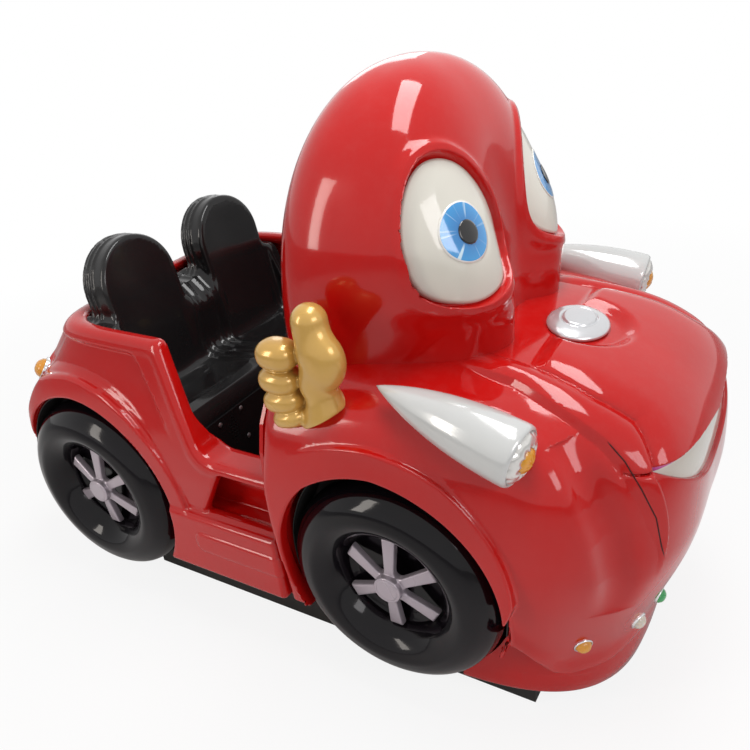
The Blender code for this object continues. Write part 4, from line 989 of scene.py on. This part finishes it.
# ---------------------------------------------------------------- badge
def badge_field(x, y, z):
    u = (x - 0.523) * 0.99 + (z - 0.730) * -0.14
    v = (z - 0.728) * 0.99 + (x - 0.523) * 0.14
    ring = np.sqrt((u / 0.060) ** 2 + (y / 0.073) ** 2)
    d = (np.sqrt((u / 0.060) ** 2 + (y / 0.073) ** 2 + (v / 0.017) ** 2 + 1e-9) - 1) * 0.017
    d = d + 0.0022 * bell(ring - 0.56, 0.035) - 0.0012 * ease(0.54, 0.48, ring)
    return both(d, -(v + 0.006), 0.002)


badge = moulded("badge_oval", badge_field, (0.45, -0.085, 0.70), (0.60, 0.085, 0.76), 0.003)
dress(badge, SILVER, replaced=("badge",))


# ---------------------------------------------------------------- chin below the bumper and the bonnet seam
# how far out, height, and size of the plan there
CHIN_OUTLINE = [(-0.0062, 0.205, 1.0), (0.0, 0.205, 1.0), (0.0, 0.120, 1.0), (0.0, 0.084, 0.994), (-0.0005, 0.058, 0.982),
                (-0.0018, 0.053, 0.977), (-0.0031, 0.0515, 0.977), (-0.0048, 0.053, 0.977), (-0.0062, 0.058, 0.982),
                (-0.0062, 0.120, 1.0)]


def chin_piece():
    """The chin below the bumper, swept round the nose; its ends drop to clear the front tyres."""
    bm = bmesh.new()
    rows = []
    for t in np.linspace(-math.pi / 2, math.pi / 2, 161):
        ahead = CHIN_LONG * max(math.cos(t), 0) ** (2 / CHIN_POWER)
        y = math.copysign(CHIN_HALF * abs(math.sin(t)) ** (2 / CHIN_POWER), t)
        if NOSE_X + ahead < 0.400:
            continue
        from_axle = NOSE_X + ahead - AXLES["front"]
        top = min(0.205, 0.285 - math.sqrt(max((FAT_TYRE + 0.008) ** 2 - from_axle ** 2, 0)))
        way = unit(np.array([(ahead / CHIN_LONG) ** (CHIN_POWER - 1) / CHIN_LONG,
                             math.copysign((abs(y) / CHIN_HALF) ** (CHIN_POWER - 1) / CHIN_HALF, y), 0]))
        rows.append([bm.verts.new((NOSE_X + ahead * size + way[0] * out, y + way[1] * out, min(z, top)))
                     for out, z, size in CHIN_OUTLINE])
    skin_rows(bm, rows)
    return dress(smooth_piece("chin_skirt", bm, 50), RED)


chin_piece()
# near-black red of the seam tubes: painted shade along the step of the bonnet seam
SEAM_SHADE = finished("seam_shadow", (0.020, 0.001, 0.001), (0.040, 0.002, 0.002), dust_amount=0.05, gloss=(0.4, 0.6))


def seam_line(name, line, r=0.0011):
    """A near-black tube laid in the skin along a polyline on the right side, as painted shade along the bonnet seam."""
    pts = np.array(line, float)
    t = np.linspace(0, len(pts) - 1, 90)
    path = np.stack([np.interp(t, range(len(pts)), pts[:, i]) for i in range(3)], -1)
    way = unit(slope_of(front_skin, path, 2e-3))
    path = seat_on(front_skin, path, way, 0.0002, 0.05)
    bm = bmesh.new()
    rings = []
    for i, p in enumerate(path):
        go = unit(path[min(i + 1, len(path) - 1)] - path[max(i - 1, 0)])
        out = unit(slope_of(front_skin, p[None], 2e-3))[0]
        side = np.cross(go, out)
        thin = r * min(1.0, 0.25 + i / 6, 0.25 + (len(path) - 1 - i) / 6)
        rings.append([bm.verts.new(p + (side * math.cos(a) + out * 0.5 * math.sin(a)) * thin)
                      for a in (math.pi * k / 4 for k in range(8))])
    skin_rows(bm, rings)
    return dress(smooth_piece(name, bm), SEAM_SHADE)


seam = seam_line("bonnet_seam_right", NOSE_LINE[3:])
dress(mirrored(seam, "bonnet_seam_left"), SEAM_SHADE)


# ---------------------------------------------------------------- headlight pods and the small lamps
def petalled(name, profile, at, axis, turns, waves, depth):
    """A lathe turned into petals: each ring's radius and reach follow |cos| round the axis."""
    piece = lathe(name, profile, at, axis, turns)
    axis = Vector(axis).normalized()
    side = axis.orthogonal().normalized()
    other = axis.cross(side)
    for vertex in piece.data.vertices:
        p = vertex.co - Vector(at)
        far = p.dot(axis)
        flat = p - axis * far
        if flat.length > 1e-5:
            lobe = abs(math.cos(waves / 2 * math.atan2(flat.dot(other), flat.dot(side)))) - 0.6
            swell = 1 + lobe * depth / max(flat.length, 0.012)
            vertex.co = Vector(at) + axis * (far + depth * 0.6 * lobe) + flat * swell
    piece.data.update()
    return piece


PETAL = finished("petal_plating", (0.58, 0.57, 0.54), (0.78, 0.77, 0.74), dust_amount=0.04, gloss=(0.06, 0.14), metal=0.45,
                 coat=0.8, wave=0.0)
POD_END, POD_AXIS = Vector((0.555, -0.395, 0.672)), Vector((-0.265, 0.030, 0.058)).normalized()
POD_R, POD_LONG = 0.056, 0.285
pod_mouth = [(0.030, 0.0), (0.028, 0.040), (0.004, 0.0470), (-0.001, 0.0500), (0.001, 0.0535), (0.006, 0.0555)]
pod_tail = [(POD_LONG * part, POD_R * (1 - part ** 2.2) ** 0.92)
            for part in (0.06, 0.12, 0.2, 0.28, 0.36, 0.44, 0.52, 0.6, 0.68, 0.75, 0.82, 0.88, 0.93, 0.97)]
pod = lathe("pod_right", pod_mouth + pod_tail + [(POD_LONG, 0.0)], POD_END, POD_AXIS)
dress(pod, PEARL, replaced=("headlight_pod_right",))
bezel = petalled("headlamp_petals_right", [(0.020, 0.0225), (-0.0105, 0.0245), (-0.0125, 0.0275), (-0.0105, 0.0345),
                                           (-0.0060, 0.0415), (0.0015, 0.0465), (0.014, 0.0470)],
                 POD_END, POD_AXIS, 120, 10, 0.0040)
dress(bezel, PETAL)
dome = petalled("headlamp_dome_right", [(0.010, 0.0245), (-0.0085, 0.0240), (-0.0150, 0.0200), (-0.0185, 0.0130),
                                        (-0.0200, 0.0060), (-0.0202, 0.0)], POD_END, POD_AXIS, 120, 12, 0.0016)
dress(dome, AMBER, replaced=("headlamp_right",))
for piece, mat, stands_for, slot in ((pod, PEARL, ("headlight_pod_left",), "pearl"), (bezel, PETAL, (), None),
                                     (dome, AMBER, ("headlamp_left",), "amber")):
    dress(mirrored(piece, piece.name.replace("right", "left")), mat, replaced=stands_for)


def small_lamp(node, field, at, way, r, mat):
    """A ribbed dome on a bright ring, standing square on the skin that it is pushed onto."""
    name = node + "_lens"
    spot = seat_on(field, np.array([at]), unit(np.array(way, float)), 0.0)
    out = unit(slope_of(field, spot, 1e-3))[0]
    base = spot[0]
    edge = [(-0.010, r * 1.16), (0.0022, r * 1.16), (0.0034, r * 1.02), (0.0010, r * 0.96), (-0.004, r * 0.94)]
    cup = [(-0.012, r * 0.95), (0.002, r * 0.95), (r * 0.42, r * 0.84), (r * 0.72, r * 0.55), (r * 0.84, r * 0.26),
           (r * 0.87, 0.0)]
    ring = lathe(name + "_ring", rounded(edge, 0.001), base, out, 48)
    dress(ring, SHINE)
    cap = petalled(name + "_dome", cup, base, out, 80, 10, 0.0007)
    dress(cap, mat, replaced=(node,))
    dress(mirrored(ring, ring.name.replace("right", "left")), SHINE)
    dress(mirrored(cap, cap.name.replace("right", "left")), mat, replaced=(node.replace("right", "left"),))


CHIN_LAMPS = ((-0.3135, AMBER, "amber"), (-0.211, CLEAR, "clear"), (-0.127, GREEN, "green"))
for count, (lamp_y, mat, slot) in enumerate(CHIN_LAMPS, 1):
    small_lamp(f"chin_lamp_right_{count}", front_skin, (0.66, lamp_y, 0.220), (1, 0, 0), 0.0165, mat)
small_lamp("tail_lamp_right", tub_plain, (-0.70, -0.338, 0.576), (-1, -0.35, 0), 0.0255, AMBER)


# ---------------------------------------------------------------- seat front: grille holes and screws
def merged(name, pieces, mat):
    """Several small pieces as one mesh."""
    bm = bmesh.new()
    for piece in pieces:
        bm.from_mesh(piece.data)
        bpy.data.objects.remove(piece)
    return dress(smooth_piece(name, bm, 45), mat)


PANEL_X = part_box("seat_panel")[1].x
SCREW = [(-0.001, 0.0062), (0.0012, 0.0060), (0.0026, 0.0042), (0.0030, 0.0014), (0.0014, 0.0012), (0.0014, 0.0)]
GRILLE_HOLE = [(0.0003, 0.0026), (0.0006, 0.0020), (0.0002, 0.0)]
screws = [lathe("screw", SCREW, (PANEL_X, y, z), (1, 0, 0), 20)
          for y, z in ((-0.172, 0.468), (-0.249, 0.464), (-0.163, 0.385), (-0.243, 0.387),
                       (0.163, 0.385), (0.243, 0.387), (0.172, 0.468), (0.249, 0.464))]
merged("seat_panel_screws", screws, STEEL)
# a lozenge of near-black discs, painted shade where the holes are, nine rows high and five wide
holes = [lathe("hole", GRILLE_HOLE, (PANEL_X, -0.207 + column * 0.0088, 0.428 + row * 0.0092), (1, 0, 0), 12)
         for row in range(-4, 5) for column in range(-2, 3) if abs(row) / 4.4 + abs(column) / 2.4 <= 1]
# near-black of the grille discs: painted shade inside the holes
HOLE = finished("grille_hole_shade", (0.001, 0.001, 0.001), (0.003, 0.003, 0.003), dust_amount=0.02, gloss=(0.6, 0.8))
merged("seat_grille_holes", holes, HOLE)


# ---------------------------------------------------------------- steering wheel
def middle(box):
    """Centre of a control's box, on the driver's line."""
    low, high = box
    return np.array([(low.x + high.x) / 2, DRIVER_Y, (low.z + high.z) / 2])


DRIVER_Y = 0.165
LEAN = unit(np.array([-math.cos(math.radians(30)), 0, math.sin(math.radians(30))]))
RISE = np.cross(LEAN, (0, 1, 0))
HUB_AT = middle(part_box("horn_button"))


def helm_field(x, y, z):
    """Steering wheel: n runs along its axis, u across and v up its face."""
    p = np.stack([x - HUB_AT[0], y - HUB_AT[1], z - HUB_AT[2]], -1)
    n, u, v = p @ LEAN, y - HUB_AT[1], p @ RISE
    r = np.sqrt(u * u + v * v)
    grip = 0.0095 + 0.0010 * np.cos(np.arctan2(v, u) * 36)
    rim = np.sqrt((r - 0.1155) ** 2 + (n + 0.012) ** 2) - grip
    d = both(r - 0.0235, both(n - 0.0015, -0.052 - n, 0.004), 0.005)
    for a in (math.pi, 0.0, -math.pi / 2 * np.sign(RISE[2])):
        reach, aside = turned(u, v, a)
        arm = both(np.abs(aside) - 0.012 + 0.04 * np.maximum(reach - 0.02, 0), np.abs(n + 0.012) - 0.005, 0.004)
        d = union(d, both(arm, np.maximum(-reach, reach - 0.112), 0.003), 0.010)
    d = union(d, rim, 0.006)
    return both(d, -both(r - 0.0165, -0.019 - n, 0.002), 0.002)


low, high = (np.array(corner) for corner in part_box("steering_wheel"))
helm = moulded("helm", helm_field, tuple(low - 0.012), tuple(high + 0.012), 0.0042)
dress(helm, BLACK, body="steering", replaced=("steering_wheel",))


# ---------------------------------------------------------------- finishes for the pieces that keep their own shape
BRASS = finished("brass_button", (0.60, 0.38, 0.06), (0.80, 0.56, 0.12), dust_amount=0.06, gloss=(0.15, 0.30), coat=0.5)
GLOW = lens("start_lens", (0.06, 0.55, 0.16), (0.02, 0.30, 0.07))
# finish of each kept node, and the width of its worn edges
KEPT = {
    "base_frame": (STEEL, 0.0015), "base_skirt": (RUBBER, 0.004), "gearbox": (GREY, 0.004), "gear_motor": (GREY, 0.003),
    "crank": (STEEL, 0.0015), "bearing_block_right": (GREY, 0.003), "bearing_block_left": (GREY, 0.003),
    "control_box": (GREY, 0.002), "power_inlet": (RUBBER, 0.0012), "pivot_shaft": (STEEL, 0.001),
    "rocker_frame": (GREY, 0.0015), "floor_pan": (BLACK, 0.001), "axle_frame_front": (GREY, 0.0015),
    "axle_frame_rear": (GREY, 0.0015), "seat_panel": (BLACK, 0.0012), "speaker": (RUBBER, 0.001),
    "dashboard": (RED, 0.0015), "steering_column": (BLACK, 0.005), "horn_button": (BRASS, 0.0012),
    "start_button": (GLOW, 0.0015), "coin_acceptor": (SHINE, 0.0015), "coin_return_button": (BRASS, 0.001),
    "cash_door": (SHINE, 0.0012), "cash_box": (STEEL, 0.0012),
    **{f"levelling_foot_{count}": (RUBBER, 0.0015) for count in range(1, 5)},
}
for name, (mat, edge) in KEPT.items():
    piece = NODES[name]
    for place in piece.material_slots:
        place.material = mat
    worn = piece.modifiers.new("worn_edges", "BEVEL")
    worn.width, worn.segments, worn.limit_method, worn.angle_limit = edge, 3, "ANGLE", math.radians(40)
    worn.harden_normals = True


# ---------------------------------------------------------------- studio
eye_at = Vector((0.92397, -1.35344, 1.38077))
forward = Vector((-0.48229, 0.73983, -0.46910)).normalized()
right = forward.cross(Vector((0, 0, 1))).normalized()
upward = right.cross(forward)
roll = math.radians(-6.1857)
turned_right = right * math.cos(roll) + upward * math.sin(roll)
turned_up = upward * math.cos(roll) - right * math.sin(roll)
camera = placed("camera", bpy.data.cameras.new("camera"))
camera.data.lens, camera.data.sensor_width = 37.17, 36.0
camera.matrix_world = Matrix.Translation(eye_at) @ Matrix((turned_right, turned_up, -forward)).transposed().to_4x4()
bpy.context.scene.camera = camera


def softbox(name, at, aim, wide, high, power, colour=(1, 1, 1)):
    """An oblong lamp at a place, turned to aim at another."""
    lamp = bpy.data.lights.new(name, "AREA")
    lamp.shape, lamp.size, lamp.size_y = "RECTANGLE", wide, high
    lamp.energy, lamp.color = power, colour
    way = Vector(aim) - Vector(at)
    placed(name, lamp).matrix_world = Matrix.Translation(at) @ way.to_track_quat("-Z", "Y").to_matrix().to_4x4()


softbox("overhead", (0.5, 0.1, 3.0), (0.2, 0.0, 0.6), 1.7, 0.8, 46)
softbox("window_left", (-1.6, -2.6, 1.8), (0.0, 0.0, 0.7), 0.5, 1.8, 28, (1.0, 0.93, 0.86))
softbox("window_front", (2.9, -1.2, 2.2), (0.3, 0.0, 0.6), 1.6, 1.0, 30, (1.0, 0.96, 0.98))
softbox("window_back", (-1.9, 2.9, 2.3), (-0.1, 0.0, 0.55), 1.5, 1.1, 11, (0.97, 0.98, 1.0))

world = bpy.data.worlds.new("studio")
world.use_nodes = True
bpy.context.scene.world = world
tree = world.node_tree
path = add(tree, "ShaderNodeLightPath")
seen = joined(tree, "MAXIMUM", path.outputs["Is Camera Ray"], path.outputs["Is Glossy Ray"])
seen = joined(tree, "MAXIMUM", seen, path.outputs["Is Transmission Ray"])
level = add(tree, "ShaderNodeMapRange", (("Value", seen),), To_Min=0.30, To_Max=1.0)
back = tree.nodes["Background"]
back.inputs["Color"].default_value = (1, 1, 1, 1)
tree.links.new(level.outputs["Result"], back.inputs["Strength"])

floor_mesh = bpy.data.meshes.new("floor")
floor_mesh.from_pydata([(-60, -60, 0), (60, -60, 0), (60, 60, 0), (-60, 60, 0)], [], [(0, 1, 2, 3)])
floor = placed("floor", floor_mesh)
pale = shader("pale_floor", (0.86, 0.86, 0.86), 0.6)
tree = pale.node_tree
path = add(tree, "ShaderNodeLightPath")
glow = add(tree, "ShaderNodeEmission", Strength=1.0)
spread = add(tree, "ShaderNodeVectorMath", ((0, add(tree, "ShaderNodeTexCoord").outputs["Object"]),), operation="LENGTH")
fade = add(tree, "ShaderNodeMapRange", (("Value", spread.outputs["Value"]),),
           From_Min=0.9, From_Max=3.0, To_Min=0.86, To_Max=1.0)
share = joined(tree, "MULTIPLY", path.outputs["Is Camera Ray"], fade.outputs["Result"])
mixed = add(tree, "ShaderNodeMixShader", ((0, share), (1, tree.nodes["Principled BSDF"].outputs[0]), (2, glow.outputs[0])))
tree.links.new(mixed.outputs[0], tree.nodes["Material Output"].inputs["Surface"])
floor_mesh.materials.append(pale)
bpy.context.scene.view_settings.view_transform = "Standard"
